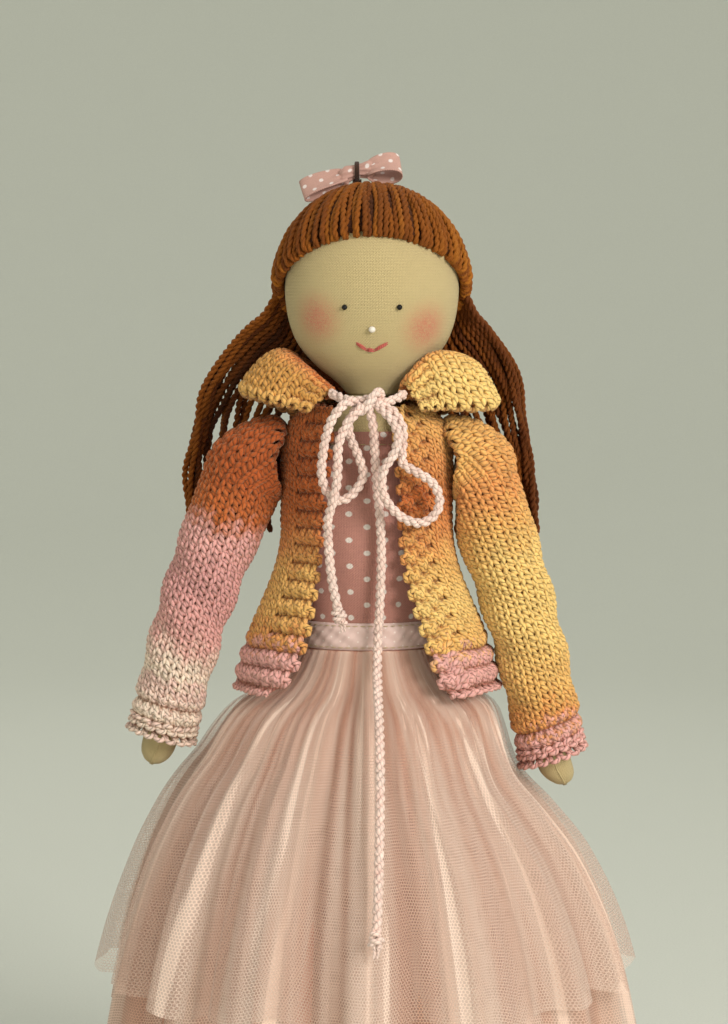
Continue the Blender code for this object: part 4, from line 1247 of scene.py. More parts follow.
@dataclass(frozen=True)
class Limbs:
    """The stuffed arms with mitten hands and the stuffed legs with flat soles."""

    arm_radius: float = 0.0080
    hand_show: float = 0.0105
    hip_height: float = 0.178
    hip_spacing: float = 0.0150
    thigh: float = 0.0118
    ankle: float = 0.0068
    ankle_back: float = 0.0110
    foot_height: float = 0.021
    foot_length: float = 0.042
    foot_width: float = 0.0185
    heel_back: float = 0.0140
    arm_shape: Profile = Profile((
        (0.0, 0.20), (0.004, 0.45), (0.02, 0.78), (0.05, 0.95), (0.16, 1.0), (0.35, 0.92), (0.60, 0.80),
        (0.84, 0.72), (0.90, 0.79), (0.94, 0.78), (0.968, 0.66), (0.985, 0.46), (0.993, 0.30), (0.996, 0.10),
    ))
    leg_shape: Profile = Profile((
        (0.0, 1.0), (0.12, 1.0), (0.30, 0.86), (0.50, 0.60), (0.62, 0.56), (0.80, 0.38), (1.0, 0.0),
    ))
    foot_shape: Profile = Profile((
        (0.0, 0.90, 0.94), (0.18, 1.0, 1.0), (0.42, 0.98, 0.86), (0.72, 0.86, 0.56),
    ))

    def arm_section(self, side: Side, place: Points) -> tuple[Points, Points, Points]:
        """The middle, the half width and the half depth of an arm at shares of its reach.

        Args:
            side: Which arm; its left hand is a round mitten, the right one comes to a blunt point.
            place: Shares from the shoulder (0) to the end of the hand (1).

        Returns:
            The middle's points, the half widths and the half depths.
        """
        line = ARM_LINES[side]
        radius = self.arm_radius * self.arm_shape.at(place)[..., 0]
        flat = 1 - 0.16 * smooth_step(place, 0.86, 0.94)
        point = smooth_step(place, 0.93, 1.0) * (1 if side is Side.RIGHT else 0.2)
        slide = (0.0016 * point)[..., None] * line.across * side.value
        return line.middle(place * (line.reach + self.hand_show)) + slide, radius, radius * flat

    def arm(self, side: Side) -> None:
        """One arm with its hand."""
        line = ARM_LINES[side]

        def down(v: Points) -> Points:
            return 1 - (1 - v) ** 1.25

        def surface(u: Points, v: Points) -> Points:
            middle, width, depth = self.arm_section(side, down(v))
            turn = (u - 0.5) * TURN
            return (
                middle + (width * np.sin(turn))[..., None] * line.across
                - (depth * np.cos(turn))[..., None] * BACKWARD
            )

        def cloth(u: Points, v: Points) -> Points:
            return stack((u - 0.5) * 0.045, down(v) * (line.reach + self.hand_show), 0.0)

        limb = welded(sheet_of("stuffed_arm_" + side.word, surface, 40, 120, cloth), fill=True)
        settle(limb, Body.arm(side), "skin_cloth", ("arm_" + side.word,), FACE_CLOTH)

    def hand_seam(self, side: Side) -> None:
        """The seam round the mitten hand: a line of whip stitches down its middle."""
        points = 60
        middle, _, depth = self.arm_section(side, np.linspace(0.855, 0.990, points))
        bead = 0.00004 + 0.00010 * np.abs(np.sin(math.pi * 18 * np.linspace(0, 1, points)))
        front = middle - (depth + bead)[:, None] * BACKWARD
        strand = Strand(front, np.zeros((points, 2)))
        seam = tubes("hand_seam_" + side.word, [strand], 0.00022)
        settle(seam, Body.arm(side), "skin_cloth", (), SEAM_THREAD)

    def leg_rings(self, side: Side) -> Points:
        """The rings of a leg as rows of centre x, y, z and half width, half depth."""
        x = side.value * self.hip_spacing
        rows = []
        for lift in np.linspace(0.05, math.pi / 2, 12):
            radius = self.thigh * math.sin(lift)
            rows.append((x, 0.0, self.hip_height + self.thigh * math.cos(lift), radius, radius))
        for down in np.linspace(0.02, 0.97, 40):
            radius = self.ankle + (self.thigh - self.ankle) * float(self.leg_shape.at(down)[0])
            height = self.hip_height + (self.foot_height - self.hip_height) * down
            rows.append((x, self.ankle_back * down, height, radius, radius))
        for share in (0.72, 0.60, 0.50, 0.42, 0.34, 0.26, 0.18, 0.09, 0.03, 0.0):
            width, length = self.foot_shape.at(share)
            half = self.foot_length / 2 * float(length)
            heel = self.ankle_back + self.heel_back * (self.ankle / self.heel_back + float(length)) / 2
            rows.append((x, heel - half, self.foot_height * share, self.foot_width / 2 * float(width), half))
        return np.array(rows)

    def leg(self, side: Side) -> None:
        """One leg, round at the hip and flat under the foot."""
        rings = self.leg_rings(side)

        def surface(u: Points, v: Points) -> Points:
            place = v * (len(rings) - 1)
            x, y, z, width, depth = (np.interp(place, np.arange(len(rings)), column) for column in rings.T)
            turn = (u - 0.5) * TURN
            return stack(x + width * np.sin(turn), y - depth * np.cos(turn), z)

        def cloth(u: Points, v: Points) -> Points:
            return stack((u - 0.5) * 0.062, v * 0.19, 0.0)

        limb = welded(sheet_of("stuffed_leg_" + side.word, surface, 48, len(rings) - 1, cloth), fill=True)
        settle(limb, Body.leg(side), "skin_cloth", ("leg_" + side.word,), FACE_CLOTH)

    def build(self) -> None:
        """Make both arms and both legs."""
        for side in Side:
            self.arm(side)
            self.hand_seam(side)
            self.leg(side)


# The hair yarn's colours by tone: strands differ in tone at random, and the dark end also serves as painted shade
# and the light end as painted highlight.
HAIR_STOPS = (
    (0.0, srgb(46, 17, 5)), (0.25, srgb(94, 43, 9)), (0.55, srgb(144, 78, 16)),
    (0.80, srgb(178, 108, 30)), (1.0, srgb(200, 134, 50)),
)
HAIR_YARN = SpunYarn(
    "brown_yarn", srgb(130, 66, 18), roughness=0.70, sheen=0.20, sheen_tint=srgb(236, 150, 70), specular=0.22,
    stops=HAIR_STOPS, pitch=0.0011, plies=3, fibres=7.0, groove=0.45, drift=0.20, mottle=0.24, depth=0.00020,
)


@dataclass(frozen=True)
class Hair:
    """Brown two-ply yarn: a crown laid forward, a cap laid back, and three falls that hang."""

    wall: float = 0.0056
    rise: float = 0.53
    tilt: float = math.radians(28)
    front: float = math.radians(82)
    side: float = math.radians(86)
    back: float = math.radians(101)
    fall_reach: tuple[float, float] = (0.0690, 0.0640)
    fall_side_y: float = 0.0305
    fall_back_y: float = 0.0375
    fall_end: float = 0.2535
    fall_spread: float = math.radians(86)
    fall_room: float = 0.0032
    tuck: float = 0.40
    bunch: int = 4
    groove: float = 0.0030
    lining_depth: float = 0.0038
    lining_radius: float = 0.0014
    yarn: Yarn = Yarn(plies=2, ply_radius=0.00072, ply_offset=0.00040, pitch=0.0060, step=0.00070)
    fall_yarn: Yarn = Yarn(plies=2, ply_radius=0.00072, ply_offset=0.00058, pitch=0.0056, step=0.00065)

    @property
    def centre(self) -> Points:
        """The middle of the skull."""
        return np.array((SKULL.x, 0.0, SKULL.bottom + self.rise * SKULL.height))

    def at(self, turn: Points, lean: Points, depth: Points) -> Points:
        """Points below the cap's outside: lean is counted from the gathered top."""
        top = SKULL.height * (1 - self.rise)
        outside = GAP + self.wall - np.asarray(depth, float)
        level = stack(np.sin(lean) * np.sin(turn), -np.sin(lean) * np.cos(turn), np.cos(lean))
        cosine, sine = math.cos(self.tilt), math.sin(self.tilt)
        y = level[..., 1] * cosine + level[..., 2] * sine
        z = -level[..., 1] * sine + level[..., 2] * cosine
        half_width, half_depth = SKULL.half_width + outside, SKULL.half_depth + outside
        return self.centre + stack(level[..., 0] * half_width, y * half_depth, z * (top + outside))

    def hairline(self, turn: Points) -> Points:
        """How far the hair reaches from its gathered top."""
        end = np.where(np.cos(turn) > 0, self.front, self.back)
        return end + (self.side - end) * np.sin(turn) ** 2

    def strand_over(self, turn: float, start: float, deep: float, rng: np.random.Generator) -> Points:
        """The middle of a strand laid over the skull that curls under at the hairline.

        Args:
            turn: The turn at which it lies at the hairline.
            start: The lean at which it starts.
            deep: How far it lies below the crest of its bunch, in metres.
            rng: Where its small wander comes from.

        Returns:
            The points of its path.
        """
        end = float(self.hairline(turn)) - 0.02
        half = self.yarn.ply_radius + self.yarn.ply_offset
        lean = np.linspace(start, end, 40)
        sway = 0.016 * np.sin(np.linspace(0, 6, 40) + rng.uniform(0, TURN))
        near = smooth_step(lean, start, end - 0.3)
        over = self.at(turn + sway, lean, half + deep * (0.35 + 0.65 * near))
        roll = np.linspace(0, math.pi * 0.95, 16)[1:]
        under = half + deep + (self.wall - 2 * half - deep) * (1 - np.cos(roll)) / 2
        edge = self.at(np.full(15, turn + sway[-1]), np.full(15, end), under)
        down = unit(self.at(turn, end + 0.2, half) - self.at(turn, end, half))
        curled = edge + down * (self.wall / 2 * np.sin(roll))[:, None]
        return np.concatenate([over, curled])

    def cap(self, name: str, first: float, last: float, count: int, seed: int) -> Piece:
        """Half of the cap of hair: rolled bunches of strands with deep grooves between them."""
        rng = np.random.default_rng(seed)
        strands: list[Strand] = []
        lining: list[Strand] = []
        bunches = count // self.bunch
        for index in range(count):
            group, member = divmod(index, self.bunch)
            inside = (member + 0.5) / self.bunch * 2 - 1
            turn = first + (last - first) * (group + 0.5 + 0.385 * math.sin(1.25 * inside)) / bunches
            start = (0.50, 0.02, 0.26, 0.66)[member % 4]
            deep = self.groove * (1 - math.cos(1.25 * inside)) * (0.85 + 0.3 * rng.uniform())
            # Strands at the sides of a bunch take darker tones: painted shade in the grooves between bunches, on
            # top of a random tone.
            tone = rng.uniform(0.46, 0.86) - 0.24 * abs(inside)
            path = self.strand_over(turn, start, deep, rng)
            strands += self.yarn.twist(path, tone, phase=rng.uniform(0, TURN))
            between = turn + (last - first) * 0.5 / count
            if index % 2 and index < count - 1:
                end = float(self.hairline(between))
                under = self.at(np.full(24, between), np.linspace(0.5, end + 0.01, 24), self.lining_depth)
                # The lining takes the darkest tone: painted shade between the bunches.
                lining += self.fall_yarn.twist(under, 0.05, phase=index * 0.7)
        fine = tubes(name, strands, self.yarn.ply_radius)
        thinned = [Strand(part.path[::2], part.place[::2], part.thickness[::2]) for part in lining]
        coarse = tubes(name + "_lining", thinned, self.lining_radius)
        return joined(name, [fine, coarse])

    def fall_middle(self, share: float, drop: Points) -> Points:
        """A place in the hanging hair: share -1 is its left side, 1 its right side."""
        turn = share * self.fall_spread
        back_turn = math.pi - turn
        start = self.at(back_turn, self.hairline(back_turn), self.wall * self.tuck)
        start = start - (self.wall / 2 + self.fall_room) * UPWARD
        end_x = self.fall_reach[0 if turn < 0 else 1] * math.sin(turn)
        end_y = self.fall_side_y + (self.fall_back_y - self.fall_side_y) * math.cos(turn)
        out = 1 - (1 - drop) ** 3.5
        back = 1 - (1 - drop) ** 2.4
        return stack(
            start[0] + (end_x - start[0]) * out, start[1] + (end_y - start[1]) * back,
            start[2] + (self.fall_end - start[2]) * drop,
        )

    def root(self, share: float) -> Points:
        """The hidden start of a hanging strand, between the skull and the roll of the cap."""
        turn = math.pi - share * self.fall_spread
        lean = float(self.hairline(turn)) - np.array((0.16, 0.09, 0.03))
        return self.at(np.full(3, turn), lean, np.full(3, self.wall * 0.66))

    def fall(self, name: str, first: float, last: float, count: int, seed: int) -> Piece:
        """One bundle of hanging strands in two layers, cut blunt at uneven lengths."""
        rng = np.random.default_rng(seed)
        strands: list[Strand] = []
        for layer, depth in enumerate((-0.0017, 0.0017)):
            for index in range(count):
                share = first + (last - first) * (index + 0.25 + 0.5 * layer) / count
                share = min(max(share, first + 0.02), last - 0.02)
                drop = np.linspace(0, 1, 60)
                path = self.fall_middle(share, drop * rng.uniform(0.90, 1.0))
                wave = rng.uniform(0, TURN, 4)
                sway = np.minimum(1, 2.5 * drop)
                sideways = 0.0016 * np.sin(6 * drop + wave[0]) + 0.0007 * np.sin(17 * drop + wave[1])
                back = 0.0007 * np.sin(7 * drop + wave[2]) + 0.0004 * np.sin(19 * drop + wave[3])
                path[:, 0] += sway * sideways
                path[:, 1] += depth + sway * back
                path = curve_through(np.concatenate([self.root(share), path[2::3]]), 4)
                # The falls take darker tones than the cap: painted shade on the hanging hair, painted light on
                # top of the head.
                strands += self.fall_yarn.twist(path, rng.uniform(0.08, 0.55), phase=rng.uniform(0, TURN))
        return tubes(name, strands, self.fall_yarn.ply_radius)

    def build(self) -> None:
        """Make the crown, the cap and the falls."""
        crown = self.cap("yarn_crown", -math.pi / 2, math.pi / 2, 56, 11)
        settle(crown, Body.DOLL, "hair_yarn", ("hair_crown",), HAIR_YARN)
        cap = self.cap("yarn_cap", math.pi / 2, 3 * math.pi / 2, 56, 12)
        settle(cap, Body.DOLL, "hair_yarn", ("hair_cap",), HAIR_YARN)
        bundles = (
            ("hair_fall_left", -1.0, -0.38, 12, 21), ("hair_fall_back", -0.35, 0.35, 12, 22),
            ("hair_fall_right", 0.38, 1.0, 12, 23),
        )
        for name, first, last, count, seed in bundles:
            fall = self.fall("yarn" + name.removeprefix("hair"), first, last, count, seed)
            settle(fall, Body.DOLL, "hair_yarn", (name,), HAIR_YARN)


# Its dark sets the painted shade between the threads.
BOW_COTTON = DottedCloth(
    "dotted_pink_cotton", srgb(206, 162, 148), threads=2300.0, dark=0.72, slub=0.5, depth=0.00010,
    dot=srgb(240, 226, 220), column=0.0037, row=0.0066, radius=0.0009,
)
BOW_THREAD = SpunYarn(
    "dark_thread", srgb(62, 36, 22), sheen=0.2, pitch=0.0018, plies=2, fibres=4, groove=0.5, depth=0.0002,
)


@dataclass(frozen=True)
class Bow:
    """The dotted bow on the hair: two cloth loops, drawn together by a brown thread."""

    knot_radius: float = 0.0031
    knot_rise: float = 0.0046
    tuck: float = 0.0004
    cloth: float = 0.0008
    wall: float = 0.00045
    width: float = 0.0094
    back: float = 0.0160
    lift: float = 0.0064
    tilt: float = math.radians(50)
    offset: float = 0.0055
    opening: float = 0.0016
    pinch: float = 0.42
    hair: Hair = field(default_factory=Hair)

    @property
    def centre(self) -> Points:
        """The middle of the knot, behind the crest of the hair."""
        top = self.hair.centre[2] + SKULL.height * (1 - self.hair.rise) + GAP + self.hair.wall
        return np.array((SKULL.x - self.offset, self.back, top + self.lift - self.knot_radius))

    def loop(self, side: Side, reach: float, height: float, lean: float) -> None:
        """One loop: a strip that leaves the knot, turns and comes back, pleated at the knot.

        Args:
            side: Which loop.
            reach: How far it reaches from the middle of the knot.
            height: How high it opens.
            lean: How far it hangs down, in radians.
        """
        pinch = self.width * self.pinch / 2 * math.sin(self.tilt)
        clear = self.knot_radius + GAP + self.cloth / 2 - self.tuck + pinch * math.sin(abs(lean))
        start = clear / math.cos(lean)
        cosine, sine = math.cos(self.tilt), math.sin(self.tilt)

        def surface(u: Points, v: Points) -> Points:
            swing = math.pi * (2 * v - 1)
            out = start + (reach - start) * (1 + np.cos(swing)) / 2
            up = height / 2 * np.sin(swing) * np.sqrt(np.maximum(0, np.cos(swing / 2)))
            up = up + self.opening / 2 * (2 * v - 1)
            spread = self.pinch + (1 - self.pinch) * np.maximum(np.sin(math.pi * v), 0) ** 0.5
            across = self.width * spread * (u - 0.5)
            near = 1 - smooth_step(out, start, start + 0.007)
            pleat = 0.00055 * near * np.sin(TURN * 2.5 * u)
            dent = 0.0010 * np.sin(math.pi * u) * np.sin(TURN * v) * (1 - near)
            local_up = up + pleat + dent
            turn = side.value * lean
            high = across * sine + local_up * cosine
            x = side.value * out * math.cos(turn) + high * math.sin(turn)
            z = -side.value * out * math.sin(turn) + high * math.cos(turn)
            return self.centre + stack(x, across * cosine - local_up * sine, z)

        loop = sheet_of("bow_cloth_" + side.word, surface, 20, 72)
        walled(loop, self.wall)
        length = float(measured(surface(np.full(65, 0.5), np.linspace(0, 1, 65)))[-1])
        settle(loop, Body.DOLL, "bow_cotton", ("bow_loop_" + side.word,), BOW_COTTON)

    def knot(self) -> None:
        """The thread wound round the middle of the bow."""
        turns, points = 4, 140
        swing = np.linspace(0, turns * TURN, points)
        across = np.linspace(-1, 1, points) * 0.0007
        middle = (self.knot_rise - self.knot_radius) / 2
        radius_y = self.knot_radius * 0.86
        radius_z = (self.knot_rise + self.knot_radius) / 2 - 0.0004
        round_share = np.sqrt(1 - (across / 0.0032) ** 2)
        path = self.centre + stack(
            across, radius_y * round_share * np.cos(swing), middle + radius_z * round_share * np.sin(swing)
        )
        place = np.stack([np.full(points, 0.4), np.linspace(0, 1, points)], axis=-1)
        winding = tubes("bow_knot", [Strand(path, place)], 0.00034)
        stem_top = self.centre - 0.7 * self.knot_radius * UPWARD
        foot = stem_top - 0.0036 * UPWARD
        stems = []
        for shift in (-0.0011, 0.0, 0.0011):
            path = np.linspace(stem_top, foot, 14) + np.array((shift, 0.0, 0.0))
            stems.append(Strand(path, np.full((14, 2), 0.4)))
        stem = tubes("bow_stem", stems, 0.0006)
        heart = ball("bow_heart", self.centre + middle * UPWARD, (0.0009, radius_y, radius_z), 16)
        for name in ("lay", "place"):
            heart.data.attributes.new(name, "FLOAT_VECTOR", "POINT")
        knot = joined("bow_winding", [winding, stem, heart])
        settle(knot, Body.DOLL, "bow_thread", ("bow_knot",), BOW_THREAD)

    def middle(self) -> None:
        """The gathered cloth under the thread, which joins both loops."""
        rise = (self.knot_rise - self.knot_radius) / 2

        def surface(u: Points, v: Points) -> Points:
            side = 2 * v - 1
            turn = (u - 0.5) * TURN
            waist = 0.72 + 0.28 * smooth_step(np.abs(side), 0.10, 0.80)
            pleat = 1 + 0.12 * np.cos(9 * turn + 2 * side)
            size = 0.0033 * waist * pleat * np.sqrt(np.clip(1.02 - side**4, 0.02, 1))
            lean = np.where(side < 0, math.radians(18), math.radians(9))
            out = 0.0072 * side
            return self.centre + stack(
                out, 0.80 * size * np.sin(turn),
                rise + 1.05 * size * np.cos(turn) + np.abs(out) * np.tan(lean) * np.sign(side),
            )

        cloth = welded(sheet_of("bow_middle", surface, 44, 30), fill=True)
        settle(cloth, Body.DOLL, "bow_cotton", (), BOW_COTTON)

    def build(self) -> None:
        """Make the knot and both loops."""
        self.knot()
        self.middle()
        self.loop(Side.LEFT, 0.0215, 0.0050, math.radians(18))
        self.loop(Side.RIGHT, 0.0165, 0.0084, math.radians(-9))


@dataclass(frozen=True)
class Stitch:
    """The loop of a hand-knitted fabric, as shares of its column and row.

    Args:
        gauge: The width of a column at which the yarn has its own thickness, in metres.
        radius: The radius of the yarn, in metres.
        depth: How far the loop bows out of the fabric's middle, in metres.
        spread: How far the head of the loop opens, as a share of the column.
        reach: How far the loop reaches up and down, as a share of the row.
        points: How many points each loop gets.
    """

    gauge: float = 0.0048
    radius: float = 0.00106
    depth: float = 0.00125
    spread: float = 0.25
    reach: float = 0.92
    points: int = 14


StitchFace = Callable[[Points, int], Points]


@dataclass
class KnitPanel:
    """A knitted fabric laid on a surface, one unbroken yarn worked to and fro or round and round.

    Args:
        surface: Gives points for shares across the columns and up the rows.
        columns: How many stitches lie side by side.
        rows: How many rows lie on each other.
        outward: 1 if the surface's own normal points out of the fabric's front, or -1.
        face: Gives 1 for a knit and -1 for a purl stitch, by column and row.
        circular: Whether the fabric is worked in the round.
        stitch: The shape of its loops.
        seed: Where its small unevenness comes from.
    """

    surface: SurfaceMap
    columns: int
    rows: int
    outward: int
    face: StitchFace
    circular: bool = False
    stitch: Stitch = Stitch()
    seed: int = 1

    def frame(self, across: Points, up: Points) -> tuple[Points, Points, Points]:
        """Points of the surface with their normals and the width of a column there."""
        step = 0.002
        left = self.surface(across - step, up)
        right = self.surface(across + step, up)
        low = self.surface(across, up - step)
        high = self.surface(across, up + step)
        sideways = right - left
        normal = unit(np.cross(sideways, high - low)) * self.outward
        width = np.linalg.norm(sideways, axis=-1) / (2 * step) / self.columns
        return (left + right) / 2, normal, width

    def row_of(self, row: int, rng: np.random.Generator) -> tuple[Points, Points, Points, Points]:
        """One row's shares across and up, how far it lies out, and its share of the rows."""
        stitch = self.stitch
        swing = np.linspace(0, self.columns * TURN, self.columns * stitch.points + 1)
        column = swing / TURN
        uneven = rng.normal(0, 0.035, self.columns + 2)
        lift = np.interp(column, np.arange(self.columns + 2) - 0.5, uneven)
        across = (column + stitch.spread * np.sin(2 * swing)) / self.columns
        rise = stitch.reach * (1 - np.cos(swing)) * (1 + lift)
        turned = column / self.columns if self.circular else 0.0
        up = (row + turned + rise) / (self.rows - 1 + int(self.circular) + 2 * stitch.reach)
        index = np.clip(np.floor(column), 0, self.columns - 1).astype(int)
        inside = column - index
        mine = self.face(index, row)
        before = self.face(np.maximum(index - 1, 0), row)
        after = self.face(np.minimum(index + 1, self.columns - 1), row)
        left_share = 1 - smooth_step(inside, -0.14, 0.14)
        right_share = smooth_step(inside, 0.86, 1.14)
        sign = mine + (before - mine) * left_share + (after - mine) * right_share
        out = -stitch.depth * np.cos(2 * swing) * sign
        return across, up, out, np.full(len(swing), (row + 0.5) / self.rows) + turned / self.rows

    def strand(self) -> Strand:
        """The yarn of the whole panel."""
        rng = np.random.default_rng(self.seed)
        parts = []
        for row in range(self.rows):
            part = np.array(self.row_of(row, rng))
            if row and self.circular:
                part = part[:, 1:]
            elif row:
                part = part[:, ::-1] if row % 2 else part
                edge = 1 + 0.30 / self.columns if row % 2 else -0.30 / self.columns
                last, first = parts[-1][1, -1], part[1, 0]
                climb = last + (first - last) * np.array((0.15, 0.5, 0.85))
                parts.append(stack(edge, climb, 0.0).T)
                parts[-1] = np.vstack([parts[-1], np.full(3, part[3, 0])])
            parts.append(part)
        across, up, out, share = np.concatenate(parts, axis=1)
        middle, normal, width = self.frame(across, up)
        scale = np.clip(width / self.stitch.gauge, 0.72, 1.18)
        path = middle + normal * (out * scale)[:, None]
        # The third part of the place tells how far out the yarn lies; the yarn paints shade where it dips into
        # the fabric.
        place = np.stack([share, across, 0.5 + 0.5 * out / self.stitch.depth], axis=-1)
        return Strand(path, place, scale)

    def build(self, name: str) -> Piece:
        """The panel as a mesh of yarn."""
        return tubes(name, [self.strand()], self.stitch.radius)


@dataclass(frozen=True)
class Cardigan:
    """The body of the cardigan: a back and two fronts that hang open."""

    half_width: float = 0.0307
    half_depth: float = 0.0204
    hem: float = 0.20184
    length: float = 0.1050
    shape: Profile = Profile((
        (0.0, 1.58, 1.60), (0.10, 1.50, 1.48), (0.20, 1.38, 1.35), (0.40, 1.11, 1.14),
        (0.50, 1.02, 1.07), (0.60, 0.995, 1.03), (0.80, 1.0, 0.98), (0.90, 0.965, 0.93),
        (0.96, 0.83, 0.86), (1.0, 0.62, 0.77),
    ))
    edges: Profile = Profile((
        (0.0, 1.18, 0.99), (0.05, 0.98, 0.90), (0.20, 0.76, 0.72), (0.45, 0.60, 0.47),
        (0.75, 0.50, 0.40), (1.0, 0.42, 0.33),
    ))

    def ring(self, turn: Points, share: Points) -> Points:
        """Points of the cardigan's middle at turns from the front and height shares."""
        size = self.shape.at(share)
        height = self.hem + self.length * np.asarray(share, float)
        return oval(self.half_width * size[..., 0], self.half_depth * size[..., 1], turn, height)

    def edge_turn(self, side: Side, share: Points) -> Points:
        """The turn of a front's free edge."""
        column = 0 if side is Side.LEFT else 1
        x = self.edges.at(share)[..., column] / self.shape.at(share)[..., 0]
        return np.arcsin(np.minimum(x, 0.999))

    def back_surface(self, across: Points, up: Points) -> Points:
        """The back, from the doll's right seam round to its left seam."""
        ripple = 0.0012 * np.sin(5 * TURN * across) * (1 - smooth_step(up, 0.0, 0.5))
        point = self.ring(math.pi / 2 + 0.03 + across * (math.pi - 0.06), up)
        point[..., 1] += ripple
        return point

    def front_surface(self, side: Side) -> SurfaceMap:
        """One front, from its free edge to the side seam."""

        def surface(across: Points, up: Points) -> Points:
            edge = self.edge_turn(side, up)
            turn = edge + across * (math.pi / 2 - 0.03 - edge)
            point = self.ring(side.value * turn, up)
            near = 1 - smooth_step(across, 0.0, 0.34)
            curl = 0.0018 * near * (0.7 + 0.3 * np.sin(9 * up + side.value))
            wave = 0.0010 * np.sin(TURN * 1.6 * across) * (1 - smooth_step(up, 0.0, 0.45))
            point[..., 1] -= curl + wave
            return point

        return surface

    def hem_face(self, column: Points, row: int) -> Points:
        """Garter ridges at the hem below stocking stitch."""
        return np.full(len(column), -1.0 if row in (0, 2, 4) else 1.0)

    def left_face(self, column: Points, row: int) -> Points:
        """A garter band of three stitches along the free edge, and a garter hem."""
        band = np.where((column < 3) & (row % 2 == 0), -1.0, 1.0)
        return np.where(row in (0, 2, 4), -1.0, band)

    def right_face(self, column: Points, row: int) -> Points:
        """A seed stitch band of three stitches along the free edge, and a garter hem."""
        band = np.where((column < 3) & ((column + row) % 2 == 0), -1.0, 1.0)
        return np.where(row in (0, 2, 4), -1.0, band)

    def build(self) -> None:
        """Knit the back and the two fronts."""
        parts = (
            ("back", self.back_surface, 23, 1, self.hem_face, 41, BODY_YARN),
            ("front_left", self.front_surface(Side.LEFT), 7, -1, self.left_face, 42, BODY_YARN),
            ("front_right", self.front_surface(Side.RIGHT), 8, 1, self.right_face, 43, RIGHT_YARN),
        )
        for name, surface, columns, outward, face, seed, yarn in parts:
            panel = KnitPanel(surface, columns, 32, outward, face, seed=seed)
            settle(panel.build("knitted_" + name), Body.DOLL, "knit_rust", ("cardigan_" + name,), yarn)


def knitting_yarn(name: str, stops: Stops) -> SpunYarn:
    """The hand-dyed cotton yarn of the cardigan with its own run of colours."""
    return SpunYarn(
        name, stops[0][1], roughness=0.85, sheen=0.35, sheen_tint=srgb(255, 220, 180), specular=0.2,
        stops=stops, pitch=0.0040, plies=2, fibres=3.5, groove=0.42, drift=0.17, mottle=0.36, depth=0.00050,
    )


RUST = srgb(190, 102, 50)
DEEP_RUST = srgb(172, 84, 38)
ORANGE = srgb(222, 150, 86)
GOLD = srgb(232, 180, 104)
OCHRE = srgb(206, 150, 78)
YELLOW = srgb(240, 202, 124)
PINK = srgb(226, 168, 160)
PALE_PINK = srgb(232, 194, 182)
MAUVE = srgb(212, 154, 150)
CREAM = srgb(238, 218, 196)

BODY_YARN = knitting_yarn("rust_yarn", (
    (0.0, PINK), (0.13, PINK), (0.18, ORANGE), (0.26, GOLD), (0.40, GOLD), (0.50, ORANGE),
    (0.62, RUST), (0.82, DEEP_RUST), (1.0, RUST),
))
RIGHT_YARN = knitting_yarn("orange_yarn", (
    (0.0, PINK), (0.11, PINK), (0.16, GOLD), (0.30, YELLOW), (0.45, GOLD), (0.55, ORANGE),
    (0.68, RUST), (0.82, ORANGE), (1.0, GOLD),
))
LEFT_SLEEVE_YARN = knitting_yarn("rose_yarn", (
    (0.0, PALE_PINK), (0.06, CREAM), (0.16, PALE_PINK), (0.22, CREAM), (0.34, PINK), (0.50, MAUVE),
    (0.66, PINK), (0.73, RUST), (0.86, DEEP_RUST), (1.0, DEEP_RUST),
))
RIGHT_SLEEVE_YARN = knitting_yarn("gold_yarn", (
    (0.0, PINK), (0.07, PINK), (0.12, ORANGE), (0.20, GOLD), (0.38, YELLOW), (0.58, YELLOW),
    (0.68, GOLD), (0.80, ORANGE), (1.0, GOLD),
))
LEFT_HOOD_YARN = knitting_yarn("ochre_yarn", (
    (0.0, RUST), (0.36, RUST), (0.52, ORANGE), (0.66, OCHRE), (0.88, OCHRE), (1.0, GOLD),
))
RIGHT_HOOD_YARN = knitting_yarn("yellow_yarn", (
    (0.0, ORANGE), (0.38, ORANGE), (0.54, GOLD), (0.72, YELLOW), (1.0, YELLOW),
))


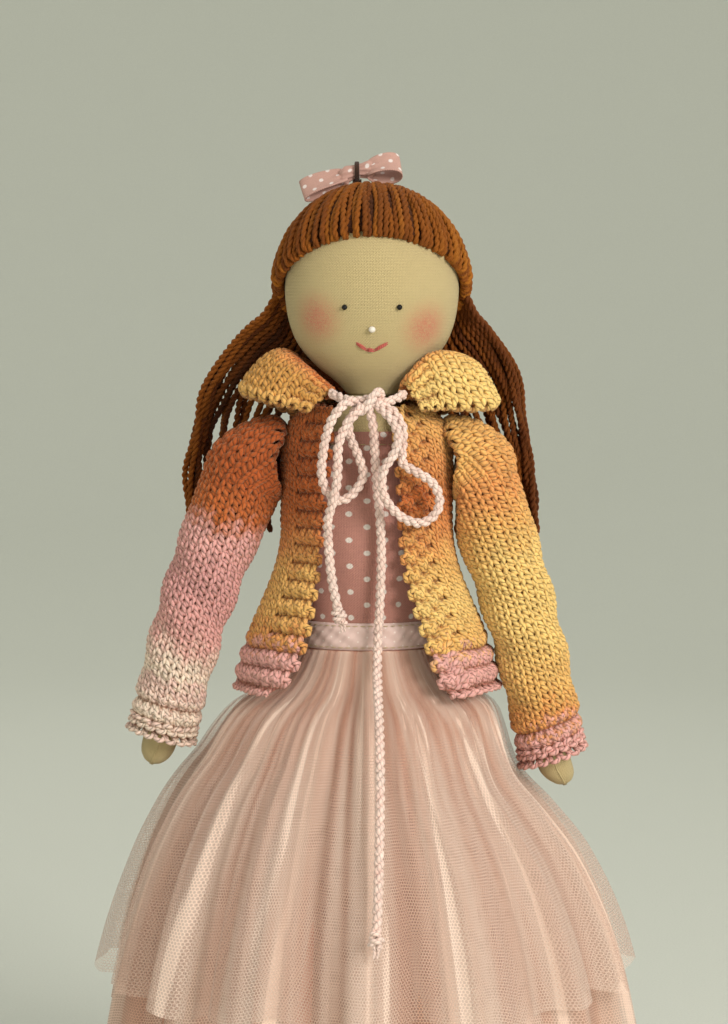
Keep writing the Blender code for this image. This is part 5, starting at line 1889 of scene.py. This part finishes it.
@dataclass(frozen=True)
class Sleeve:
    """One knitted sleeve, from its garter cuff up to the seam on the shoulder."""

    side: Side
    radius: float = 0.0150
    wall: float = 0.0030
    seam_x: float = 0.0328
    cap_share: float = 0.80
    shape: Profile = Profile((
        (0.0, 0.995), (0.10, 0.995), (0.25, 0.96), (0.45, 0.90), (0.70, 0.865), (0.88, 0.865), (1.0, 0.92),
    ))

    @property
    def line(self) -> ArmLine:
        """The line of its arm."""
        return ARM_LINES[self.side]

    def surface(self, across: Points, up: Points) -> Points:
        """Points round the sleeve and up from its cuff."""
        line, side = self.line, self.side.value
        turn = math.pi + across * TURN
        place = np.clip(up / self.cap_share, 0, 1)
        low = np.minimum(up, 0) / self.cap_share
        distance = line.reach - (line.reach - 0.010) * (place + low)
        radius = self.radius * self.shape.at(distance / line.reach)[..., 0] - self.wall / 2
        bend = np.clip((up - self.cap_share) / (1 - self.cap_share), 0, 1.02)
        outer = side * np.sin(turn)
        start_middle = line.middle(distance)
        end_middle = np.array((side * (self.seam_x + 0.0010), 0.0, line.shoulder_z))
        middle = start_middle + (end_middle - start_middle) * bend[..., None]
        angle = bend * (math.pi / 2 - line.splay)
        start_out = side * line.across
        start_up = np.cross(start_out, (0.0, side, 0.0))
        direction = np.cos(angle)[..., None] * start_out + np.sin(angle)[..., None] * start_up
        bulge = 1 + 0.30 * np.sin(math.pi * np.clip(bend, 0, 1)) * np.maximum(outer, 0)
        size = radius * (1 - 0.03 * bend) * bulge
        folds = 0.0007 * np.sin(6 * up * TURN + 2 * turn) * np.sin(math.pi * np.clip(up / 0.75, 0, 1))
        size = size + folds
        point = middle + (size * outer)[..., None] * direction
        point = point - (size * np.cos(turn))[..., None] * BACKWARD
        inner = self.seam_x + 0.0022
        closing = np.clip(bend, 0, 1)
        over = closing * (0.0008 + 0.0056 * smooth_step(point[..., 2] - line.shoulder_z, -0.001, 0.011))
        point[..., 0] = side * (np.maximum(side * point[..., 0], inner - 0.0012 * closing) - over)
        return point

    def face(self, column: Points, row: int) -> Points:
        """Two garter ridges at the cuff below stocking stitch."""
        return np.full(len(column), -1.0 if row in (0, 1, 3) else 1.0)

    def build(self) -> None:
        """Knit the sleeve in the round."""
        rows, yarn, slot = {
            Side.LEFT: (38, LEFT_SLEEVE_YARN, "knit_rose"), Side.RIGHT: (40, RIGHT_SLEEVE_YARN, "knit_gold"),
        }[self.side]
        panel = KnitPanel(self.surface, 18, rows, 1, self.face, circular=True, seed=51 + rows)
        sleeve = panel.build("knitted_sleeve_" + self.side.word)
        x, z = self.side.value, self.line.shoulder_z
        settle(
            sleeve, Body.DOLL, slot, ("sleeve_" + self.side.word,), yarn, Body.arm(self.side),
            start=(x * 0.0310, 0.0, z), end=(x * (self.line.shoulder_x + 0.0038), 0.0, z),
        )


@dataclass(frozen=True)
class Hood:
    """The hood, folded down round the neck; its front edges lie as two lapels."""

    front_turn: float = math.radians(40)
    reach: float = 0.0300
    rise: float = 0.0185
    drop: float = 0.0240
    lift: float = 0.0030
    left_shape: Profile = Profile((
        (0.0, 0.10, 0.16, 0.42, 0.20), (0.16, 0.34, 0.66, 0.80, 0.10), (0.36, 0.42, 0.90, 0.95, 0.02),
        (0.55, 0.32, 0.70, 0.60, 0.28), (0.78, 0.17, 0.32, 0.38, 0.70), (1.0, 0.13, 0.20, 0.35, 1.0),
    ))
    right_shape: Profile = Profile((
        (0.0, 0.12, 0.30, 0.36, 0.22), (0.12, 0.36, 0.84, 0.58, 0.26), (0.26, 0.56, 0.78, 0.98, 0.26),
        (0.40, 0.50, 0.62, 0.90, 0.14), (0.55, 0.32, 0.60, 0.60, 0.28), (0.78, 0.17, 0.32, 0.38, 0.70),
        (1.0, 0.13, 0.20, 0.35, 1.0),
    ))
    edge_draw: float = 0.040
    cardigan: Cardigan = field(default_factory=Cardigan)

    def at(self, from_front: Points, side: int, step: Points) -> Points:
        """Points of the hood: step 0 at the neckline, 1/2 at the fold and 1 at the free edge.

        Args:
            from_front: Shares from the front end (0) to the middle of the back (1).
            side: -1 for the left half, 1 for the right half.
            step: Shares from the neckline to the free edge.

        Returns:
            The points.
        """
        turn = side * (self.front_turn + from_front * (math.pi - self.front_turn))
        shape = self.left_shape if side < 0 else self.right_shape
        ridge_out, ridge_up, edge_out, edge_down = np.moveaxis(shape.at(from_front), -1, 0)
        start = self.cardigan.ring(turn, np.ones_like(turn)) + self.lift * UPWARD
        level = start - (self.cardigan.hem + self.cardigan.length + self.lift) * UPWARD
        outward = unit(level)
        up, down = self.rise * ridge_up, -self.drop * edge_down
        ridge = start + outward * (self.reach * ridge_out)[..., None] + UPWARD * up[..., None]
        edge = start + outward * (self.reach * edge_out)[..., None] + UPWARD * down[..., None]
        control = ridge * 2 - (start + edge) / 2
        step = np.asarray(step, float)[..., None]
        return start * (1 - step) ** 2 + control * 2 * step * (1 - step) + edge * step**2

    def surface(self, side: Side) -> SurfaceMap:
        """One half, its columns spread evenly along the outside of the fold."""
        shares = np.linspace(0, 1, 129)
        lengths = measured(self.at(shares, side.value, np.full(129, 0.72)))
        lengths /= lengths[-1]

        def surface(across: Points, up: Points) -> Points:
            even = np.interp(across, lengths, shares) + np.minimum(across, 0) + np.maximum(across - 1, 0)
            drawn_in = self.edge_draw * smooth_step(up, 0.90, 1.04)
            return self.at(even, side.value, up - drawn_in)

        return surface

    def face(self, column: Points, row: int) -> Points:
        """A garter band of two stitches along the front edge."""
        return np.where((column < 2) & (row % 2 == 0), -1.0, 1.0)

    def build(self) -> None:
        """Knit both halves, which meet in a seam at the back."""
        for side in Side:
            panel = KnitPanel(self.surface(side), 19, 14, -side.value, self.face, seed=61 + side.value)
            half = panel.build("knitted_hood_" + side.word)
            yarn = LEFT_HOOD_YARN if side is Side.LEFT else RIGHT_HOOD_YARN
            settle(
                half, Body.DOLL, "knit_yellow", ("hood",), yarn, Body.arm(side),
                start=(side.value * 0.0240, 0.0, 0.300), end=(side.value * 0.0580, 0.0, 0.300),
            )


LEG_X = 0.015
LAP_TOP = 0.200
LAP_END = 0.090
# Each layer: its name, its colour, the painted shade in the valleys of its folds, its haze and its net cell.
NET_LAYERS = tuple(
    NetCloth(name, colour, sheen=0.2, deep=deep, haze=haze, cell=cell)
    for name, colour, deep, haze, cell in (
        ("net_under", srgb(220, 180, 157), srgb(178, 116, 93), 0.76, 0.0011),
        ("net_middle", srgb(227, 197, 178), srgb(195, 144, 120), 0.46, 0.0011),
        ("net_overlay", srgb(233, 208, 191), srgb(210, 168, 147), 0.20, 0.0012),
    )
)


@dataclass(frozen=True)
class Skirt:
    """Three gathered layers of net, each in a left and a right half that meet in the middle."""

    top: float = 0.21712
    length: float = 0.15512
    half_width: float = 0.0970
    half_depth: float = 0.0850
    fold_depth: float = 0.0042
    folds: int = 14
    step: float = 0.0013
    spread: float = 0.0038
    hems: tuple[float, float, float] = (0.062, 0.076, 0.095)
    cloth_width: float = 0.34
    waist: float = 0.22242
    shape: Profile = Profile((
        (0.0, 0.0, 0.0, 0.0), (0.055, 0.075, 0.075, 0.055), (0.095, 0.165, 0.165, 0.115),
        (0.14, 0.305, 0.270, 0.27), (0.19, 0.395, 0.305, 0.375), (0.25, 0.480, 0.335, 0.46),
        (0.31, 0.590, 0.395, 0.53), (0.38, 0.690, 0.540, 0.605), (0.50, 0.81, 0.740, 0.735),
        (0.70, 0.94, 0.925, 0.915), (1.0, 1.07, 1.07, 1.07),
    ))

    def at(self, turn: Points, drop: Points, layer: int) -> Points:
        """Points of a layer at turns from the front and drops below the waistband."""
        left_wide, right_wide, deep = np.moveaxis(self.shape.at(drop / self.length), -1, 0)
        wide = np.where(np.sin(turn) < 0, left_wide, right_wide)
        base_width, base_depth = (float(part) + 0.0013 for part in TRUNK.radii(self.waist))
        apart = layer * (self.step + self.spread * deep)
        width = base_width + (self.half_width - 2 * self.spread - base_width) * wide + apart
        depth = base_depth + (self.half_depth - 2 * self.spread - base_depth) * deep + apart
        swing = turn + 0.10 * np.sin(3 * turn + 1.3 * layer) + 0.05 * np.sin(7 * turn)
        fold = np.cos(self.folds * swing + 0.9 * layer * np.sin(turn))
        sharp = np.sign(fold) * np.abs(fold) ** 0.8
        size = 1 + self.fold_depth / self.half_depth * (sharp * deep + 0.30 * self.gather(turn, drop, layer))
        return oval(width * size, depth * size, turn, self.top - drop)

    def gather(self, turn: Points, drop: Points, layer: int) -> Points:
        """How far the narrow gathers stand out or in, from -1 to 1; they spread into each other below."""
        wander = 0.20 * np.sin(5 * turn + 2.1 * layer) + 0.11 * np.sin(13 * turn + layer)
        narrow = np.cos(53 * (turn + 0.20 * wander) + 1.7 * layer)
        wide = np.cos(29 * (turn + 0.34 * wander) + 2.6 * layer + 2.0 * drop / self.length)
        below = smooth_step(drop, 0.02, 0.09)
        crests = narrow * (1 - 0.55 * below) + wide * 0.75 * below
        return np.clip(crests, -1, 1) * (0.35 + 0.65 * smooth_step(drop, 0.0, 0.03))

    def half(self, layer: int, side: Side) -> None:
        """One half of a layer."""
        drop_end = self.top - self.hems[layer]

        def surface(u: Points, v: Points) -> Points:
            turn = side.value * u * math.pi
            hem = 0.0016 * np.sin(9 * turn + layer) + 0.0010 * np.sin(23 * turn)
            drop = v * (drop_end + hem * smooth_step(v, 0.5, 1.0))
            return self.at(turn, drop, layer)

        def cloth(u: Points, v: Points) -> Points:
            return stack(side.value * u * self.cloth_width, v * drop_end, 0.0)

        word = ("under", "middle", "overlay")[layer]
        half = sheet_of(f"net_{word}_{side.word}", surface, 560, 40, cloth)
        self.mark_gathers(half.data, layer)
        x = side.value * LEG_X
        settle(
            half, Body.DOLL, "tulle", ("tulle_" + word,), NET_LAYERS[layer],
            Body.leg(side), start=(x, 0.0, LAP_TOP), end=(x, 0.0, LAP_END),
        )

    def mark_gathers(self, mesh: bpy.types.Mesh, layer: int) -> None:
        """Keep each point's gather and drop in the attribute gather, from which the net takes its painted shade
        and highlight.
        """
        points = np.empty(len(mesh.vertices) * 3)
        mesh.vertices.foreach_get("co", points)
        x, y, z = points.reshape(-1, 3).T
        drop = self.top - z
        turn = np.arctan2(x, -y)
        fold = 0.5 + 0.5 * np.cos(self.folds * turn)
        crest = 0.5 + 0.5 * self.gather(turn, drop, layer)
        # The first part marks the valleys and crests of the folds, for the net's painted shade and highlight and
        # its denser crests.
        marks = np.stack([0.55 * crest + 0.45 * fold, drop, np.zeros(len(x))], axis=-1)
        mark(mesh, "gather", marks)

    def build(self) -> None:
        """Make the six halves."""
        for layer in range(3):
            for side in Side:
                self.half(layer, side)


CORD_YARN = SpunYarn(
    "pink_cord_yarn", srgb(226, 196, 184), roughness=0.85, sheen=0.4, specular=0.2,
    stops=(
        (0.0, srgb(214, 158, 142)), (0.35, srgb(228, 186, 172)),
        (0.7, srgb(238, 208, 194)), (1.0, srgb(244, 222, 210)),
    ),
    pitch=0.0030, plies=2, fibres=4.0, groove=0.66, drift=0.7, mottle=0.26, depth=0.00026,
)


@dataclass(frozen=True)
class TieCord:
    """Two twisted cords that leave the neckline, are tied in a bow and hang in two tails."""

    diameter: float = 0.0032
    yarn: Yarn = Yarn(plies=2, ply_radius=0.00104, ply_offset=0.00084, pitch=0.0066, step=0.0006)
    knot: Spot = (0.0008, -0.0255, 0.3088)
    neck_left: tuple = ((-0.0130, -0.0160, 0.3119), (-0.0112, -0.0205, 0.3112), (-0.0060, -0.0255, 0.3095))
    neck_right: tuple = ((0.0130, -0.0161, 0.3119), (0.0122, -0.0205, 0.3108), (0.0070, -0.0255, 0.3090))
    loop_left: tuple = (
        (-0.0045, -0.0265, 0.3100), (-0.0090, -0.0300, 0.3078), (-0.0135, -0.0305, 0.3010),
        (-0.0160, -0.0295, 0.2900), (-0.0162, -0.0290, 0.2820), (-0.0140, -0.0278, 0.2762),
        (-0.0095, -0.0262, 0.2735), (-0.0045, -0.0240, 0.2765), (-0.0014, -0.0225, 0.2825),
        (-0.0032, -0.0222, 0.2895), (-0.0060, -0.0228, 0.2960), (-0.0065, -0.0240, 0.3020),
        (-0.0030, -0.0250, 0.3075),
    )
    tail_left: tuple = (
        (-0.0020, -0.0280, 0.3070), (-0.0065, -0.0300, 0.3025), (-0.0100, -0.0300, 0.2950),
        (-0.0105, -0.0300, 0.2880), (-0.0108, -0.0305, 0.2810), (-0.0122, -0.0312, 0.2740),
        (-0.0142, -0.0285, 0.2665), (-0.0140, -0.0255, 0.2580), (-0.0130, -0.0250, 0.2460),
        (-0.0115, -0.0250, 0.2380), (-0.0107, -0.0250, 0.2343),
    )
    loop_right: tuple = (
        (0.0040, -0.0265, 0.3080), (0.0088, -0.0296, 0.3030), (0.0112, -0.0305, 0.2970),
        (0.0095, -0.0305, 0.2905), (0.0060, -0.0300, 0.2850), (0.0055, -0.0295, 0.2775),
        (0.0085, -0.0285, 0.2715), (0.0140, -0.0275, 0.2668), (0.0200, -0.0262, 0.2655),
        (0.0250, -0.0252, 0.2690), (0.0262, -0.0248, 0.2745), (0.0235, -0.0252, 0.2800),
        (0.0180, -0.0262, 0.2838), (0.0130, -0.0264, 0.2870), (0.0128, -0.0264, 0.2930),
        (0.0128, -0.0264, 0.3000), (0.0092, -0.0262, 0.3060), (0.0050, -0.0257, 0.3080),
    )
    tail_right: tuple = (
        (0.0008, -0.0262, 0.3080), (0.0020, -0.0260, 0.3020), (0.0026, -0.0250, 0.2950),
        (0.0030, -0.0236, 0.2870), (0.0036, -0.0224, 0.2780), (0.0046, -0.0220, 0.2680),
        (0.0052, -0.0222, 0.2560), (0.0050, -0.0222, 0.2440), (0.0045, -0.0220, 0.2320),
        (0.0040, -0.0222, 0.2240), (0.0038, -0.0240, 0.2165), (0.0038, -0.0300, 0.2090),
        (0.0040, -0.0390, 0.2030), (0.0043, -0.0480, 0.1960), (0.0045, -0.0560, 0.1860),
        (0.0045, -0.0625, 0.1740), (0.0043, -0.0685, 0.1610), (0.0040, -0.0745, 0.1470),
        (0.0035, -0.0798, 0.1345), (0.0032, -0.0818, 0.1295),
    )

    def route(self, side: Side) -> Points:
        """The whole way of one cord: out of the neckline, round its loop and down its tail."""
        parts = {
            Side.LEFT: (self.neck_left, self.loop_left, self.tail_left),
            Side.RIGHT: (self.neck_right, self.loop_right, self.tail_right),
        }[side]
        return curve_through([point for part in parts for point in part], 10)

    def end_knot(self, side: Side, route: Points) -> Piece:
        """The knot at the end of a tail: the cord wound round itself, with a short end below."""
        end, heading = route[-1], unit(route[-1] - route[-4])
        swing = np.linspace(0, 2.2 * TURN, 60)
        down = np.linspace(0.0002, 0.0060, 60)
        size = 0.0017 * (0.55 + 0.45 * np.sin(math.pi * np.linspace(0.08, 0.92, 60)))
        first = unit(np.cross(heading, (0.0, 1.0, 0.3)))
        second = np.cross(heading, first)
        wound = (
            end + down[:, None] * heading + (size * np.cos(swing))[:, None] * first
            + (size * 0.8 * np.sin(swing))[:, None] * second
        )
        tip = end + np.linspace(0.004, 0.0092, 10)[:, None] * heading
        tip = tip + (0.0004 * np.sin(np.linspace(0, 3, 10)))[:, None] * first
        strands = Yarn(2, 0.00078, 0.00062, 0.0050, 0.0005).twist(wound, 0.75, taper=0.05)
        for lane in (-1, 1):
            path = tip + lane * 0.0006 * first
            strands.append(Strand(path, np.full((10, 2), 0.8), np.linspace(1.0, 0.45, 10)))
        return tubes("end_knot_" + side.word, strands, 0.00082)

    def centre_knot(self) -> Piece:
        """The small knot at the throat: a turn of cord drawn over the loops."""
        swing = np.linspace(-0.35, 0.35, 30) * TURN * 1.25
        centre = np.array(self.knot)
        path = centre + stack(
            0.0046 * np.sin(swing * 0.5), -0.0030 * np.cos(swing), 0.0034 * np.sin(swing) + 0.0004
        )
        strands = self.yarn.twist(path, 0.8)
        under = centre + stack(
            np.linspace(-0.0060, 0.0060, 24), 0.0006 + 0.0008 * np.cos(np.linspace(-2, 2, 24)),
            0.0012 * np.cos(np.linspace(-1.5, 1.5, 24)),
        )
        strands += self.yarn.twist(under, 0.7, phase=1.0)
        return tubes("throat_knot", strands, self.yarn.ply_radius)

    def build(self) -> None:
        """Make both cords and their knots."""
        knots = {side: self.end_knot(side, self.route(side)) for side in Side}
        middle = self.centre_knot()
        for side in Side:
            route = respaced(self.route(side), 0.0008)
            name = "tie_cord_" + side.word
            cord = tubes(name, self.yarn.twist(route, 0.7, phase=0.6 * side.value), self.yarn.ply_radius)
            length = float(measured(route)[-1])
            nodes = [f"tie_{part}_{side.word}" for part in ("neck", "loop", "tail")]
            [tuple(point) for point in respaced(route, 0.004)]
            lap = {}
            if side is Side.RIGHT:
                lap = {"towards": Body.RIGHT_LEG, "start": (LEG_X, 0.0, LAP_TOP), "end": (LEG_X, 0.0, LAP_END)}
            for piece, stand_ins in ((cord, nodes), (knots[side], ["tail_knot_" + side.word])):
                settle(piece, Body.DOLL, "tie_cord", stand_ins, CORD_YARN, **lap)
        settle(middle, Body.DOLL, "tie_cord", ("tie_knot",), CORD_YARN)


@dataclass(frozen=True)
class Lamp:
    """One soft square lamp that faces the doll."""

    name: str
    place: Spot
    size: float
    power: float
    tint: Colour


LAMPS = (
    Lamp("key", (0.85, -0.95, 0.80), 0.50, 15.5, (1.0, 0.965, 0.93)),
    Lamp("fill", (-0.50, -1.15, 0.10), 0.9, 4.6, (1.0, 0.98, 0.96)),
    Lamp("rim", (-0.3, 1.1, 1.0), 0.8, 2.0, (1.0, 0.98, 0.95)),
)


@dataclass(frozen=True)
class Studio:
    """The plain floor and backdrop, the soft light and the camera."""

    camera_place: Spot = (-0.0011, -0.90, 0.350)
    camera_aim: Spot = (-0.0011, 0.0, 0.267)
    lens: float = 56.9
    sensor: float = 24.0
    wall: Colour = srgb(212, 214, 204)
    world: Colour = srgb(232, 232, 226)
    world_strength: float = 1.0
    chest: Spot = (0.0, 0.0, 0.26)
    floor_run: float = 4.2
    floor_level: float = 1.3
    floor_bend: float = 1.1

    def hang(self, name: str, data: bpy.types.ID, place: Spot, aim: Spot) -> Piece:
        """Put a lamp or the camera into the scene and turn it to what it looks at.

        Args:
            name: The object's name.
            data: The lamp or the camera.
            place: Where it hangs.
            aim: The spot that it faces.

        Returns:
            The object.
        """
        holder = new_object(name, data)
        holder.location = place
        holder.rotation_euler = (Vector(aim) - Vector(place)).to_track_quat("-Z", "Y").to_euler()
        return holder

    def camera(self) -> None:
        """Place the camera where the photograph was taken from."""
        camera = bpy.data.cameras.new("camera")
        camera.sensor_fit = "VERTICAL"
        camera.sensor_height = self.sensor
        camera.lens = self.lens
        camera.clip_start = 0.01
        bpy.context.scene.camera = self.hang("camera", camera, self.camera_place, self.camera_aim)

    def light(self, lamp: Lamp) -> None:
        """Hang one lamp and turn it to the doll's chest."""
        light = bpy.data.lights.new(lamp.name, "AREA")
        light.size, light.energy, light.color = lamp.size, lamp.power, lamp.tint
        self.hang(lamp.name, light, lamp.place, self.chest)

    def backdrop(self) -> None:
        """A level floor that curves up into a wall all round, with no line between them."""
        rows = 48

        def surface(u: Points, v: Points) -> Points:
            turn = (u - 0.5) * TURN
            run = v * self.floor_run
            past = run - self.floor_level
            bend = np.clip(past / self.floor_bend, 0, math.pi / 2)
            radius = np.minimum(run, self.floor_level) + self.floor_bend * np.sin(bend)
            wall = np.maximum(past - self.floor_bend * math.pi / 2, 0)
            height = self.floor_bend * (1 - np.cos(bend)) + wall
            return stack(radius * np.sin(turn), -radius * np.cos(turn), height)

        floor = sheet_of("floor", surface, 96, rows)
        paint = Finish("floor_paint", self.wall, roughness=1.0, specular=0.0)
        floor.data.materials.append(paint.material())

    def surroundings(self) -> None:
        """Even light from all round."""
        world = bpy.data.worlds.new("surroundings")
        world.use_nodes = True
        background = world.node_tree.nodes["Background"]
        background.inputs["Color"].default_value = (*self.world, 1.0)
        background.inputs["Strength"].default_value = self.world_strength
        bpy.context.scene.world = world

    def build(self) -> None:
        """Set up the whole studio."""
        self.camera()
        self.backdrop()
        self.surroundings()
        for lamp in LAMPS:
            self.light(lamp)
        bpy.context.scene.view_settings.view_transform = "Standard"


def build_doll() -> None:
    """Make every piece of the doll."""
    TieCord().build()
    Face().build()
    Trunk().build()
    Limbs().build()
    Hair().build()
    Bow().build()
    Skirt().build()
    Cardigan().build()
    for side in Side:
        Sleeve(side).build()
    Hood().build()


def main() -> None:
    """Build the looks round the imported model."""
    logging.basicConfig(level=logging.INFO, format="%(name)s: %(message)s")
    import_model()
    Studio().build()
    build_doll()


if __name__ == "__main__":
    main()
